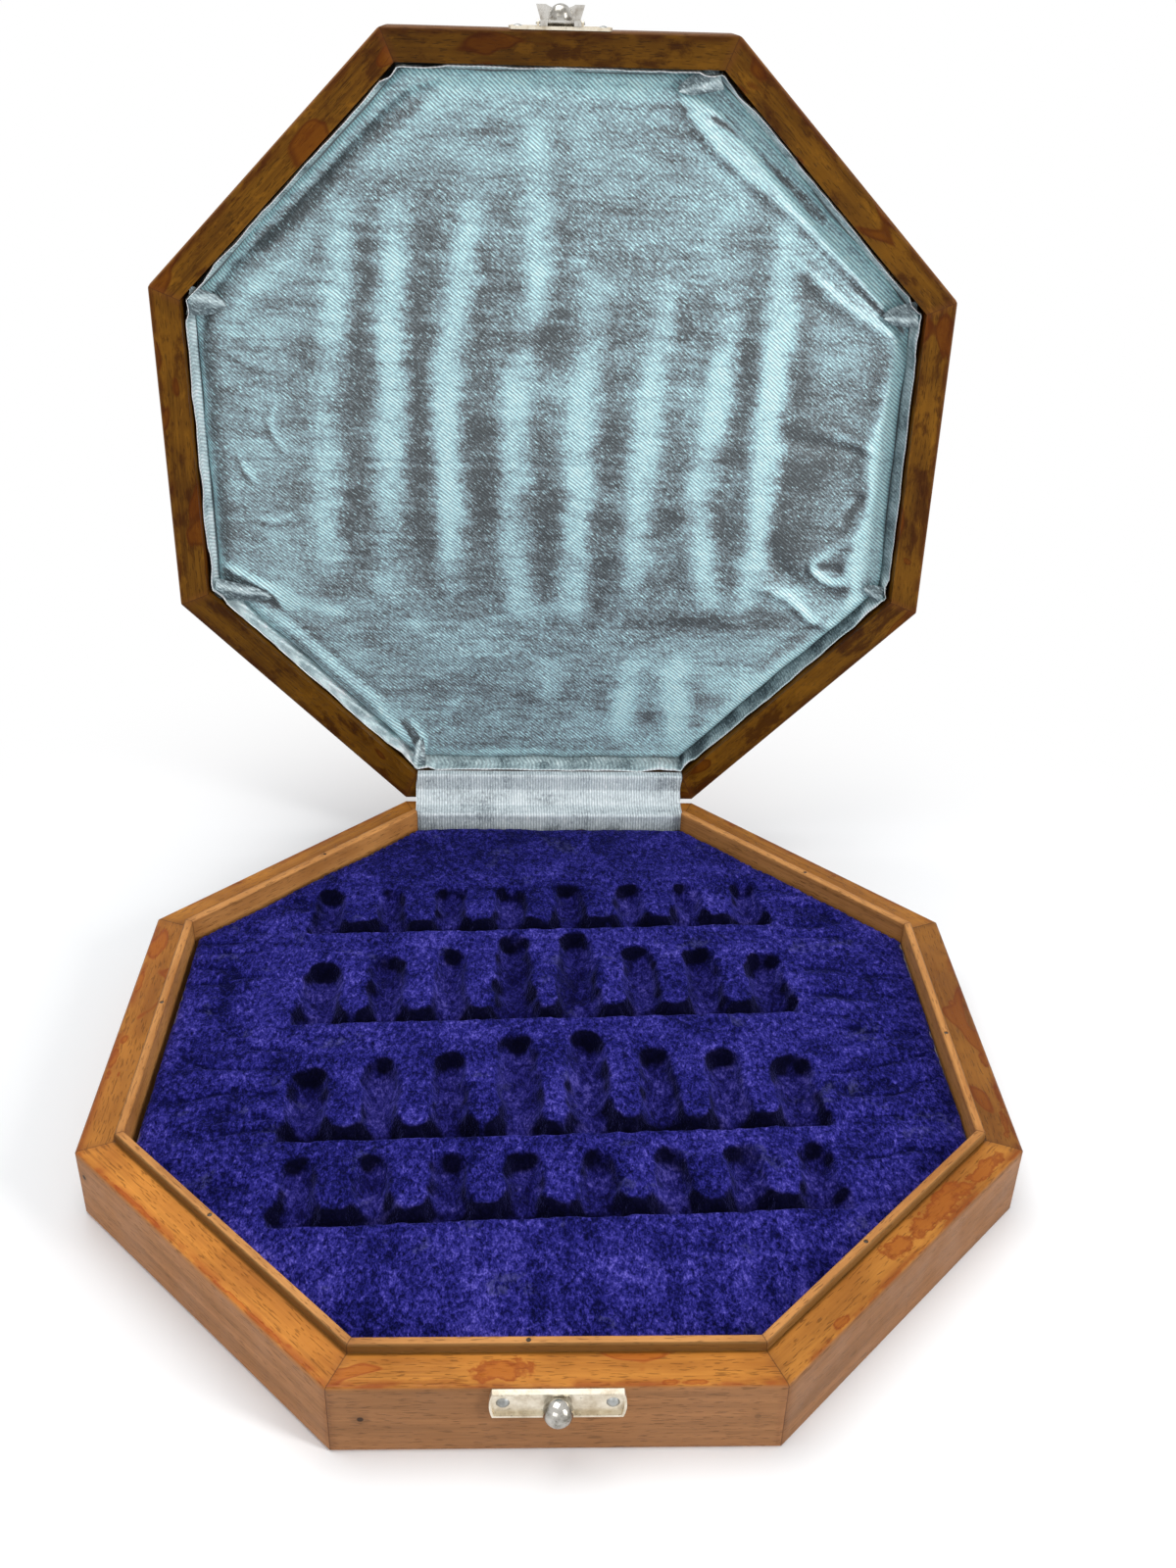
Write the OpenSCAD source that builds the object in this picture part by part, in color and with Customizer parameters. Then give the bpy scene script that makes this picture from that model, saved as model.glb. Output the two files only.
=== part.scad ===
// Octagonal wooden chess box. The lid stands open on two stop hinges, the base holds a
// velvet tray with thirty-two fitted wells, and a sprung latch closes the front.
// Origin: centre of the underside. +X right, +Y towards the hinges, +Z up.

/* [Box] */
// Width of the octagon across its flats
box_w = 300; // [292:1:340]
// Height of the base walls
base_h = 26; // [25:0.5:34]
// Depth of the lid walls
lid_h = 20; // [18:0.5:30]
// Thickness of the base walls
rail_w = 11.6; // [10.5:0.1:13]
// Round on the outer edges of the walls
edge_r = 1.4; // [0.6:0.1:2.2]
// Round on the eight upright corners
corner_r = 4; // [2:0.5:8]
// Thickness of the bottom board and of the lid board
panel_t = 4; // [3:0.5:5]
// Rebate that each board sits in
rebate_w = 5; // [3.5:0.5:6]
// Space between the closed rims, room for the folded satin
rim_gap = 1.2; // [1.1:0.1:1.8]
// Angle between the rims of the open lid, at its stop
lid_open = 92.9; // [90:0.1:100]

/* [Lip strips] */
// Thickness of the strips inside the walls
lip_t = 3.0; // [2.4:0.1:3.6]
// How far the strips stand proud of the rim
lip_rise = 3.2; // [2:0.1:4]
// Play between the strips and the lid walls
lip_play = 0.4; // [0.3:0.05:0.6]
// Diameter of the nail in the top of each strip
nail_d = 1.5; // [1.2:0.1:1.8]
// Place of each nail along its strip, from the middle
nail_offset = -8; // [-20:1:20]

/* [Tray] */
// Tray surface below the rim
tray_drop = 3.6; // [2:0.2:4]
// Gap between the tray and the strips
tray_gap = 1.2; // [0.9:0.1:1.6]
// How far the tray has slid to the right
tray_slide = 0.7; // [0:0.1:0.8]
// Thickness of the velvet and its backing
velvet_t = 1.2; // [0.8:0.1:1.6]
// Thickness of the board under the tray
board_t = 2.5; // [1.5:0.1:3]
// Clearance of the soft parts
soft_gap = 0.3; // [0.2:0.05:0.4]
// Distance between columns of wells
well_pitch = 23.4; // [22.5:0.1:23.8]
// Shift of the rows of wells along the tray
well_shift = -1.6; // [-3:0.1:3]
// Turn of the hand-cut wells in the tray, degrees
well_turn = 2.4; // [0:0.1:3]
// Front of the base pockets, from the centre: back pawns
back_pawn_y = 63; // [62:0.5:65]
// Front of the base pockets: back pieces
back_piece_y = 9.5; // [8:0.5:10]
// Front of the base pockets: front pieces
front_piece_y = -49; // [-50:0.5:-48]
// Front of the base pockets: front pawns
front_pawn_y = -85; // [-87:0.5:-84]
// Width of the slit that joins the base pockets of a row
slit_w = 4.6; // [4.2:0.1:5.5]
// Depth of that slit
slit_depth = 6; // [4.5:0.5:7]

/* [Lid lining] */
// Thickness of the card behind the lining
card_t = 1; // [0.6:0.1:1.5]
// Thickness of the satin band on the lid walls
band_t = 1; // [0.6:0.1:1.2]
// Depth of the bare wall between the rim and the satin band
band_drop = 3.8; // [3.6:0.1:5]
// Gap between the padded panel and the satin band
cushion_gap = 1.6; // [1:0.1:3]
// Thickness of the padded panel at its rolled edge
cushion_edge = 4.6; // [3:0.1:5]
// Rise of the crown above the rolled edge
cushion_crown = 2.4; // [1:0.1:3]
// Depth of the channels that the pieces press
channel_depth = 1.3; // [0.5:0.1:1.8]
// How far the sides draw in between the corners
draw_in = 1.6; // [0:0.1:2.5]

/* [Satin strip] */
// Width of the satin strip over the hinges
strip_w = 114; // [100:1:114]
// Thickness of the satin
satin_t = 0.4; // [0.3:0.05:0.45]

/* [Hinges] */
// Distance from the middle to each hinge
hinge_x = 36; // [26:1:42]
// Length of a hinge
hinge_l = 24; // [18:1:28]
// Depth of a hinge leaf
leaf_depth = 9; // [7.5:0.1:9.5]
// Thickness of a hinge leaf
leaf_t = 1.2; // [1:0.1:1.4]
// Outer radius of the knuckles
knuckle_r = 2.2; // [1.9:0.1:2.4]
// Diameter of the hinge pin
pin_d = 2; // [1.5:0.1:2.4]
// Length of the stop tail below the pin
tail_l = 8; // [5:0.5:12]
// Diameter of the wood screws
screw_d = 1.8; // [1.4:0.1:2]
// Length of the wood screws
screw_l = 8; // [5:0.5:10]

/* [Clasp] */
// Length of the clasp plate on the base
plate_l = 37; // [34:0.5:44]
// Height of both clasp plates
plate_h = 9.4; // [9:0.1:10]
// Thickness of the clasp sheet
sheet_t = 0.7; // [0.6:0.05:0.8]
// Depth of the turned rim of the base plate
pan_d = 1.8; // [1.6:0.1:2]
// Depth of the turned rim of the lid plate
lid_pan_d = 1.1; // [1:0.1:1.2]
// Length of the clasp plate on the lid
lid_plate_l = 36; // [34:0.5:42]
// Diameter of the ball knob on the base
knob_d = 8.4; // [7.6:0.1:8.8]
// Length of that knob, foot to crown
knob_l = 7.2; // [6:0.1:8]
// Diameter of the knob on the latch
latch_knob_d = 8; // [7:0.1:8.4]
// Length of that knob
latch_knob_l = 5.2; // [4.6:0.1:6]
// Diameter of the rivet heads
rivet_d = 3.8; // [3:0.1:4.4]
// Distance from the middle of a plate to its rivets
rivet_x = 14.8; // [13.5:0.1:15]
// Width of the latch arm
latch_w = 14; // [13:0.5:14.5]
// Width of the fish-tail thumb piece at its tips
tail_w = 17; // [15:0.5:18]
// Height of the fish-tail above the plate
tail_h = 7.8; // [6:0.1:8.4]
// Diameter of the latch pin
latch_pin_d = 1; // [0.8:0.1:1.2]

/* [Hidden] */
SIDES = ["front", "front_right", "right", "back_right", "back", "back_left", "left", "front_left"];
LIP_SIDES = [0, 1, 2, 3, 5, 6, 7];
BLOCKS = ["front", "front_pawns", "front_pieces", "back_pieces", "back_pawns", "back"];
HINGE_SIDES = ["left", "right"];

// Running clearance of a pin in its bore, and of a screw in its hole
pin_play = 0.04;
screw_play = 0.05;
nail_play = 0.02;
// Clearance of a board in its rebate
board_play = 0.15;
// Clearance of the moving metal
metal_gap = 0.35;

half_w = box_w / 2;
inner_a = half_w - rail_w;
lid_rail_w = rail_w - lip_play;
lid_inner_a = half_w - lid_rail_w;
lip_inner_a = inner_a - lip_t;
tray_a = lip_inner_a - tray_gap;
tray_top = base_h - tray_drop;
board_top = panel_t + board_t;
rim_z = base_h + rim_gap;
hinge_y = half_w;
hinge_z = base_h + rim_gap / 2;
lid_cavity = lid_h - panel_t;
cushion_back = lid_cavity - card_t;
cushion_a = lid_inner_a - band_t - cushion_gap;

// An octagonal prism whose flats lie at the apothem a
module octagon(a, h) rotate([0, 0, 22.5]) cylinder(r = a / cos(22.5), h = h, $fn = 8);

// Places a part made for the front side on side k, counted anticlockwise
module on_side(k) rotate([0, 0, 45 * k]) children();

// Lid parts are drawn shut, with the lid's rim at z = 0, and turned back to the open stop
module in_lid()
  translate([0, hinge_y, hinge_z]) rotate([-lid_open, 0, 0])
    translate([0, -hinge_y, rim_gap / 2]) children();

// Plan of one side between its two mitres, with half of each rounded corner
function half_arc(side, a, r) =
  [for (i = [0:3]) let (t = -90 + side * (22.5 - i * 7.5))
    [side * (a - r) * tan(22.5) + r * cos(t), -(a - r) + r * sin(t)]];
function reversed(p) = [for (i = [len(p) - 1:-1:0]) p[i]];
module side_plan(a, r, h)
  linear_extrude(height = h)
    polygon(concat([[0, 0]], half_arc(-1, a, r), reversed(half_arc(1, a, r))));

// Section of a wall, outer face at x = 0, with its outer edges rounded
module wall_section(w, h) union() {
  translate([edge_r, 0]) square([w - edge_r, h]);
  translate([0, edge_r]) square([2 * edge_r, h - 2 * edge_r]);
  for (z = [edge_r, h - edge_r]) translate([edge_r, z]) circle(r = edge_r, $fn = 48);
}

// A mitred wall on the front side, rebated for its board at the foot or at the top
module mitred_wall(w, h, rebate_z) intersection() {
  translate([-half_w, -half_w, 0]) rotate([90, 0, 90]) linear_extrude(height = box_w)
    difference() {
      wall_section(w, h);
      translate([w - rebate_w, rebate_z - panel_t]) square([rebate_w + 1, 2 * panel_t]);
    }
  side_plan(half_w, corner_r, h);
}

// Board in the rebates of all eight walls
module rebated_board(wall_w) octagon(half_w - wall_w + rebate_w - board_play, panel_t);

// Hinge pockets and screw holes, cut from the rims: z = 0 is the rim, the leaf lies above it
module hinge_cuts(axis_z) for (side = [-1, 1]) translate([side * hinge_x, hinge_y, 0]) {
  translate([-hinge_l / 2 - 0.1, -leaf_depth - 0.1, -1]) cube([hinge_l + 0.2, leaf_depth + 5, leaf_t + 1]);
  translate([-hinge_l / 2 - 0.3, 0, axis_z]) rotate([0, 90, 0])
    cylinder(r = knuckle_r + metal_gap, h = hinge_l + 0.6, $fn = 48);
  screw_places() translate([0, 0, -1]) cylinder(d = screw_d + 2 * screw_play, h = screw_l + 1.3, $fn = 24);
}
module screw_places() for (x = [-1, 1])
  translate([x * (hinge_l / 2 - 4.4), -(leaf_depth + knuckle_r) / 2, 0]) children();

// Holes for the knob shank and the rivets of a clasp plate, at height z on the front face
module clasp_holes(z, knob) translate([0, -half_w, z]) rotate([-90, 0, 0]) {
  if (knob) translate([0, 0, -1]) cylinder(d = shank_d + 2 * screw_play, h = shank_l + 1.2, $fn = 32);
  for (x = [-rivet_x, rivet_x]) translate([x, 0, -1])
    cylinder(d = rivet_shank_d + 2 * screw_play, h = shank_l + 1.2, $fn = 24);
}
shank_d = 3;
shank_l = 6;
rivet_shank_d = 1.8;
// Clasp plates lie this far from their rims
plate_inset = 0.3;
base_plate_z = base_h - plate_inset - plate_h / 2;
lid_plate_z = plate_inset + plate_h / 2;

module base_rail(k) color("peru") on_side(k) difference() {
  mitred_wall(rail_w, base_h, 0);
  if (k == 0) clasp_holes(base_plate_z, true);
  if (k == 4) rotate([0, 0, 180]) translate([0, 0, base_h]) mirror([0, 0, 1]) hinge_cuts(-rim_gap / 2);
}
module bottom_board() color("burlywood") rebated_board(rail_w);

// Strip inside a wall, standing proud of the rim to register the lid, mitred at both ends
function mitre_end(side) = [side * inner_a * tan(22.5), -inner_a];
module lip_strip(k) color("tan") on_side(k) difference() {
  intersection() {
    translate([-half_w, -inner_a, panel_t]) rotate([90, 0, 90]) linear_extrude(height = box_w) lip_section();
    linear_extrude(height = base_h + lip_rise) polygon([[0, 0], mitre_end(-1), mitre_end(1)]);
  }
  strip_nail(nail_d / 2, nail_l + 1);
}
module lip_section() {
  h = base_h + lip_rise - panel_t;
  round_r = lip_t / 4;
  union() {
    square([lip_t, h - round_r]);
    translate([round_r, 0]) square([lip_t - 2 * round_r, h]);
    for (x = [round_r, lip_t - round_r]) translate([x, h - round_r]) circle(r = round_r, $fn = 32);
  }
}
module strip_nail(r, l) translate([nail_offset, -inner_a + lip_t / 2, base_h + lip_rise - nail_l])
  cylinder(r = r, h = l, $fn = 24);
nail_l = 9;
nail_sink = 0.25;
module strip_nails() color("dimgray") for (k = LIP_SIDES)
  on_side(k) strip_nail(nail_d / 2 - nail_play, nail_l - nail_sink);

// Wells: [length, pocket radius, body radius, head radius] of each kind of piece
PAWN = [27, 8.6, 5.9, 5.3];
ROOK = [33, 9.6, 6.9, 6.7];
KNIGHT = [37.5, 9.6, 6.4, 6.2];
BISHOP = [39.5, 9.8, 6.5, 5.4];
QUEEN = [48, 10, 7.4, 6.1];
KING = [49, 10, 7.4, 6.5];
PIECES = [ROOK, KNIGHT, BISHOP, QUEEN, KING, BISHOP, KNIGHT, ROOK];
WELL_ROWS = [
  [front_pawn_y, [for (i = [0:7]) PAWN]],
  [front_piece_y, PIECES],
  [back_piece_y, PIECES],
  [back_pawn_y, [for (i = [0:7]) PAWN]]
];
pocket_l = 5.2;

// The hollow of one lying piece, its axis in the tray's surface, enlarged all over by grow
module well(kind, grow) {
  length = kind[0];
  body_r = kind[2] + grow;
  head_r = kind[3] + grow;
  head_y = length + grow - head_r;
  rotate([-90, 0, 0]) rotate([0, 0, -90]) rotate_extrude($fn = 48) union() {
    translate([0, -grow]) square([kind[1] + grow, pocket_l + 2 * grow]);
    polygon([[0, 1], [body_r + 1.5, pocket_l], [body_r, pocket_l + 4], [head_r, head_y], [0, head_y]]);
    intersection() {
      translate([0, head_y]) circle(r = head_r, $fn = 48);
      translate([0, head_y - 0.5]) square([head_r + 1, head_r + 1]);
    }
  }
}
module well_row(row, grow) translate([well_shift, row[0], tray_top]) {
  for (i = [0:7]) translate([(i - 3.5) * well_pitch, 0, 0]) well(row[1][i], grow);
  translate([-3.5 * well_pitch, -grow, -slit_depth - grow])
    cube([7 * well_pitch, slit_w + 2 * grow, slit_depth + grow + 1]);
}
module in_tray() translate([tray_slide, 0, 0]) children();
module turned() rotate([0, 0, well_turn]) children();

module tray_board() color("gray") in_tray() translate([0, 0, panel_t]) octagon(tray_a - soft_gap, board_t);

// Packing blocks under the velvet, parted between the rows of wells
block_gap = 3;
BLOCK_EDGES = [
  -box_w,
  front_pawn_y - block_gap,
  (front_pawn_y + PAWN[0] + front_piece_y) / 2,
  (front_piece_y + KING[0] + back_piece_y) / 2,
  (back_piece_y + KING[0] + back_pawn_y) / 2,
  back_pawn_y + PAWN[0] + block_gap,
  box_w
];
module tray_block(b) color("slategray") in_tray() difference() {
  intersection() {
    translate([0, 0, board_top]) octagon(tray_a - soft_gap, tray_top - velvet_t - soft_gap - board_top);
    turned() translate([-box_w, BLOCK_EDGES[b], 0])
      cube([2 * box_w, BLOCK_EDGES[b + 1] - BLOCK_EDGES[b], base_h]);
  }
  if (b >= 1 && b <= 4) turned() well_row(WELL_ROWS[b - 1], velvet_t + soft_gap);
}

// One velvet cover over the blocks, sunk into every well
module velvet_tray() color("midnightblue") in_tray() difference() {
  union() {
    translate([0, 0, tray_top - velvet_t]) octagon(tray_a, velvet_t);
    intersection() {
      turned() for (row = WELL_ROWS) well_row(row, velvet_t);
      translate([0, 0, board_top]) octagon(tray_a, tray_top - velvet_t / 2 - board_top);
    }
  }
  turned() for (row = WELL_ROWS) well_row(row, 0);
}

// Satin over the hinges: up the back wall, over its rim, round the knuckles, up the lid's rim
satin_gap = 0.15;
satin_mid = satin_gap + satin_t / 2;
function opened(y, z) = let (dy = y - hinge_y, dz = z + rim_gap / 2)
  [hinge_y + dy * cos(lid_open) + dz * sin(lid_open), hinge_z - dy * sin(lid_open) + dz * cos(lid_open)];
fold_y = hinge_y - knuckle_r - 2;
SATIN_PATH = [
  [inner_a - satin_mid, tray_top - 5],
  [inner_a - satin_mid, base_h + satin_mid],
  [fold_y, base_h + satin_mid],
  opened(fold_y - 0.4, -satin_mid),
  opened(lid_inner_a - satin_mid, -satin_mid),
  opened(lid_inner_a - satin_mid, band_drop - soft_gap)
];
function unit(v) = v / norm(v);
function left_of(v) = [-v[1], v[0]];
// Offset of path point i by d, mitred where the path turns
function offset_point(p, i, d) = let (
    into = unit(p[max(i, 1)] - p[max(i, 1) - 1]),
    out = unit(p[min(i, len(p) - 2) + 1] - p[min(i, len(p) - 2)]),
    n = unit(left_of(into) + left_of(out)))
  p[i] + n * d / (n * left_of(into));
function band_outline(p, t) = concat(
  [for (i = [0:len(p) - 1]) offset_point(p, i, t / 2)],
  [for (i = [len(p) - 1:-1:0]) offset_point(p, i, -t / 2)]);
module satin_hinge_strip() color("gainsboro")
  translate([-strip_w / 2, 0, 0]) rotate([90, 0, 90]) linear_extrude(height = strip_w)
    polygon(band_outline(SATIN_PATH, satin_t));

module lid_rail(k) color("saddlebrown") in_lid() on_side(k) difference() {
  mitred_wall(lid_rail_w, lid_h, lid_h);
  if (k == 0) clasp_holes(lid_plate_z, false);
  if (k == 4) rotate([0, 0, 180]) hinge_cuts(-rim_gap / 2);
}
module lid_board() color("sienna") in_lid() translate([0, 0, lid_cavity]) rebated_board(lid_rail_w);
module lining_card() color("beige") in_lid() translate([0, 0, cushion_back])
  octagon(lid_inner_a - soft_gap, card_t);
module lining_wall_band() color("lightsteelblue") in_lid() translate([0, 0, band_drop]) difference() {
  octagon(lid_inner_a - soft_gap / 3, cushion_back - band_drop);
  translate([0, 0, -1]) octagon(lid_inner_a - band_t, lid_h);
}

// Padded satin panel: rolled edge, low crown, a channel pressed by each column of pieces
function octagon_depth(x, y, a) = a - max(abs(x), abs(y), (abs(x) + abs(y)) / sqrt(2));
function smooth(t) = let (u = min(1, max(0, t))) u * u * (3 - 2 * u);
function roll(d, r) = let (u = 1 - min(1, max(0, d / r))) sqrt(1 - u * u);
function channel(x) = let (c = cos(180 * x / well_pitch)) smooth(1.2 * c * c - 0.1);
function cushion_height(x, y) = let (d = octagon_depth(x, y, cushion_a))
  cushion_edge * roll(d, 2 * cushion_edge) + cushion_crown * smooth(d / cushion_a)
  - channel_depth * (1 - channel(x)) * smooth((d - 6) / 30);
function drawn(x, y) = let (
    a = atan2(y, x),
    edge = 1 - octagon_depth(x, y, cushion_a) / cushion_a,
    pull = draw_in * pow(cos(4 * a), 2) * pow(edge, 4) / max(1, norm([x, y])))
  [x * (1 - pull), y * (1 - pull)];
grid_n = floor((cushion_a - 4) / (well_pitch / 4));
GRID_X = concat(
  [-cushion_a, -cushion_a + 1.2],
  [for (i = [-grid_n:grid_n]) i * well_pitch / 4],
  [cushion_a - 1.2, cushion_a]);
GRID_V = [-1, -0.985, -0.94, -0.85, -0.62, -0.31, 0, 0.31, 0.62, 0.85, 0.94, 0.985, 1];
function column_half(x) = min(cushion_a, sqrt(2) * cushion_a - abs(x));
module lining_cushion() color("lightblue") in_lid() {
  nx = len(GRID_X);
  nv = len(GRID_V);
  front = [for (x = GRID_X) for (v = GRID_V)
    let (y = v * column_half(x), p = drawn(x, y)) [p[0], p[1], cushion_back - cushion_height(x, y)]];
  last = nx * nv;
  polyhedron(
    points = concat(front, [[0, 0, cushion_back]]),
    faces = concat(
      [for (i = [0:nx - 2]) for (j = [0:nv - 2]) [i * nv + j, (i + 1) * nv + j, i * nv + j + 1]],
      [for (i = [0:nx - 2]) for (j = [0:nv - 2]) [(i + 1) * nv + j, (i + 1) * nv + j + 1, i * nv + j + 1]],
      [for (j = [0:nv - 2]) [j + 1, last, j]],
      [for (j = [0:nv - 2]) [(nx - 1) * nv + j, last, (nx - 1) * nv + j + 1]],
      [for (i = [0:nx - 2]) [i * nv, last, (i + 1) * nv]],
      [for (i = [0:nx - 2]) [(i + 1) * nv + nv - 1, last, i * nv + nv - 1]]),
    convexity = 10);
}

// Stop hinge: the lid leaf's middle knuckle carries a tail that meets the back wall
middle_l = hinge_l / 3;
knuckle_gap = 0.1;
module knuckle(x0, x1) translate([x0, 0, 0]) rotate([0, 90, 0]) cylinder(r = knuckle_r, h = x1 - x0, $fn = 48);
module pin_bore(r) translate([-hinge_l / 2 - 1, 0, 0]) rotate([0, 90, 0]) cylinder(r = r, h = hinge_l + 2, $fn = 48);
module knuckle_room(x0, x1) translate([x0, 0, 0]) rotate([0, 90, 0])
  cylinder(r = knuckle_r + metal_gap, h = x1 - x0, $fn = 48);
module leaf_plate() difference() {
  translate([-hinge_l / 2, -leaf_depth, rim_gap / 2]) cube([hinge_l, leaf_depth, leaf_t]);
  screw_places() translate([0, 0, rim_gap / 2]) screw_shape(screw_play);
}
// Countersunk screw, head face at z = 0, shank towards +Z
module screw_shape(grow) union() {
  translate([0, 0, -grow]) cylinder(r1 = screw_d + grow, r2 = screw_d / 2 + grow, h = 0.9, $fn = 32);
  translate([0, 0, -grow]) cylinder(r = screw_d / 2 + grow, h = screw_l + 2 * grow, $fn = 32);
}
module hinge_base_leaf(side) color("silver")
  translate([side * hinge_x, hinge_y, hinge_z]) mirror([0, 0, 1]) difference() {
    union() {
      leaf_plate();
      knuckle(-hinge_l / 2, -middle_l / 2 - 3 * knuckle_gap);
      knuckle(middle_l / 2 + 3 * knuckle_gap, hinge_l / 2);
    }
    knuckle_room(-middle_l / 2 - 2 * knuckle_gap, middle_l / 2 + 2 * knuckle_gap);
    pin_bore(pin_d / 2 + pin_play);
  }
module hinge_lid_leaf(side) color("silver") difference() {
  union() {
    in_lid() translate([side * hinge_x, hinge_y, -rim_gap / 2]) difference() {
      leaf_plate();
      knuckle_room(-hinge_l / 2 - 1, -middle_l / 2 - knuckle_gap);
      knuckle_room(middle_l / 2 + knuckle_gap, hinge_l / 2 + 1);
    }
    translate([side * hinge_x, hinge_y, hinge_z]) {
      knuckle(-middle_l / 2, middle_l / 2);
      translate([-middle_l / 2, 0.1, -tail_l]) cube([middle_l, 1.4, tail_l]);
    }
  }
  translate([side * hinge_x, hinge_y, hinge_z]) pin_bore(pin_d / 2 + pin_play);
}
module hinge_pin(side) color("gray") translate([side * hinge_x - hinge_l / 2 - 0.1, hinge_y, hinge_z])
  rotate([0, 90, 0]) cylinder(d = pin_d, h = hinge_l + 0.2, $fn = 48);
module base_hinge_screws() color("gold") for (side = [-1, 1])
  translate([side * hinge_x, hinge_y, base_h]) mirror([0, 0, 1]) screw_places() screw_shape(0);
module lid_hinge_screws() color("gold") in_lid() for (side = [-1, 1])
  translate([side * hinge_x, hinge_y, 0]) screw_places() screw_shape(0);

// Clasp parts are drawn flat: x along the plate, y up the wall, z out of the box
module on_base_front() translate([0, -half_w, base_plate_z]) rotate([90, 0, 0]) children();
module on_lid_front() in_lid() translate([0, -half_w, lid_plate_z]) rotate([90, 0, 0]) children();

// Outline of a plate with bowed ends
module bowed_outline(l, h) difference() {
  square([l, h], center = true);
  for (s = [-1, 1]) difference() {
    translate([s * l / 2, 0]) square([3, h + 2], center = true);
    translate([s * (l / 2 - bow_r), 0]) circle(r = bow_r, $fn = 96);
  }
}
bow_r = 14;
module pressed_plate(l, d) difference() {
  linear_extrude(height = d) bowed_outline(l, plate_h);
  translate([0, 0, sheet_t]) linear_extrude(height = d) bowed_outline(l - 2 * sheet_t, plate_h - 2 * sheet_t);
  for (x = [-rivet_x, rivet_x]) translate([x, 0, -1]) cylinder(d = rivet_shank_d + 2 * screw_play, h = 5, $fn = 32);
}
module rivets() for (x = [-rivet_x, rivet_x]) translate([x, 0, 0]) {
  translate([0, 0, -shank_l]) cylinder(d = rivet_shank_d, h = shank_l + sheet_t, $fn = 32);
  intersection() {
    translate([0, 0, sheet_t + 0.9 - rivet_d * 0.62]) sphere(r = rivet_d * 0.62, $fn = 48);
    translate([0, 0, sheet_t]) cylinder(d = rivet_d, h = 2, $fn = 48);
  }
}
// Turned knob: a collar and a ball, its foot at z = 0
module ball_knob(d, l) rotate_extrude($fn = 64) intersection() {
  square([d, l]);
  union() {
    square([d / 2 - collar_step, l - d / 2]);
    translate([0, l - d / 2]) circle(d = d, $fn = 64);
  }
}
collar_step = 0.5;
module clasp_base_plate() color("lightgray") on_base_front() difference() {
  pressed_plate(plate_l, pan_d);
  translate([0, 0, -1]) cylinder(d = shank_d + 2 * screw_play, h = 5, $fn = 32);
}
module clasp_base_knob() color("gainsboro") on_base_front() union() {
  translate([0, 0, sheet_t]) ball_knob(knob_d, knob_l);
  translate([0, 0, -shank_l]) cylinder(d = shank_d, h = shank_l + sheet_t + 1, $fn = 32);
}
module clasp_base_rivets() color("dimgray") on_base_front() rivets();

// Latch on the lid plate. The pin lies at pin_y up the wall and pin_z out of it
barrel_wall = 0.5;
barrel_r = latch_pin_d / 2 + barrel_wall;
pin_y = plate_h / 2 - sheet_t - barrel_r;
pin_z = sheet_t + metal_gap + barrel_r;
arm_z = pin_z + barrel_r - sheet_t;
arm_foot = -lid_plate_z + plate_inset;
ear_t = 0.8;
ear_x = latch_w / 2 + metal_gap + ear_t / 2;
// Each hook passes the base knob and reaches in under the base plate's turned top edge
hook_w = (latch_w - knob_d) / 2 - metal_gap;
hook_bite = 0.5;
hook_in = arm_z - pan_d + hook_bite;
hook_y = -lid_plate_z - rim_gap - plate_inset - sheet_t - metal_gap;
tail_y = pin_y + barrel_r - sheet_t;
latch_knob_y = tail_y - metal_gap - latch_knob_d / 2;
tail_dip_r = 10;
tail_dip = 1.4;
module latch_pin_bore() translate([-latch_w, pin_y, pin_z]) rotate([0, 90, 0])
  cylinder(d = latch_pin_d + 2 * pin_play, h = 2 * latch_w, $fn = 32);
module latch_ear() rotate([0, 90, 0]) translate([0, 0, -ear_t / 2]) linear_extrude(height = ear_t) union() {
  translate([-pin_z, 0]) circle(r = barrel_r, $fn = 48);
  translate([-pin_z, -barrel_r]) square([pin_z - sheet_t / 2, 2 * barrel_r]);
}
module clasp_lid_plate() color("lightgray") on_lid_front() difference() {
  union() {
    pressed_plate(lid_plate_l, lid_pan_d);
    for (x = [-ear_x, ear_x]) translate([x, pin_y, 0]) latch_ear();
  }
  latch_pin_bore();
}
module clasp_lid_rivets() color("dimgray") on_lid_front() rivets();
module latch_pin() color("gray") on_lid_front() translate([-ear_x - ear_t, pin_y, pin_z]) rotate([0, 90, 0])
  cylinder(d = latch_pin_d, h = 2 * (ear_x + ear_t), $fn = 48);

// Latch arm: a barrel on the pin, a flat arm with two hooks, and the fish-tail thumb piece
module latch_arm() color("darkgray") on_lid_front() difference() {
  union() {
    translate([-latch_w / 2, pin_y, pin_z]) rotate([0, 90, 0]) cylinder(r = barrel_r, h = latch_w, $fn = 48);
    translate([-latch_w / 2, arm_foot, arm_z]) cube([latch_w, pin_y - arm_foot, sheet_t]);
    for (x = [-latch_w / 2, latch_w / 2 - hook_w]) translate([x, hook_y - sheet_t, arm_z]) {
      cube([hook_w, pin_y - hook_y + sheet_t, sheet_t]);
      translate([0, 0, -hook_in]) cube([hook_w, sheet_t, hook_in + sheet_t]);
    }
    fish_tail();
  }
  latch_pin_bore();
}
module fish_tail() translate([0, tail_y + sheet_t, 0]) rotate([90, 0, 0]) linear_extrude(height = sheet_t)
  difference() {
    root_z = pin_z + barrel_r;
    polygon([
      [-latch_w / 2, pin_z], [latch_w / 2, pin_z], [latch_w / 2, root_z],
      [tail_w / 2, tail_h], [-tail_w / 2, tail_h], [-latch_w / 2, root_z]]);
    translate([0, tail_h + tail_dip_r - tail_dip]) circle(r = tail_dip_r, $fn = 96);
  }
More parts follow.
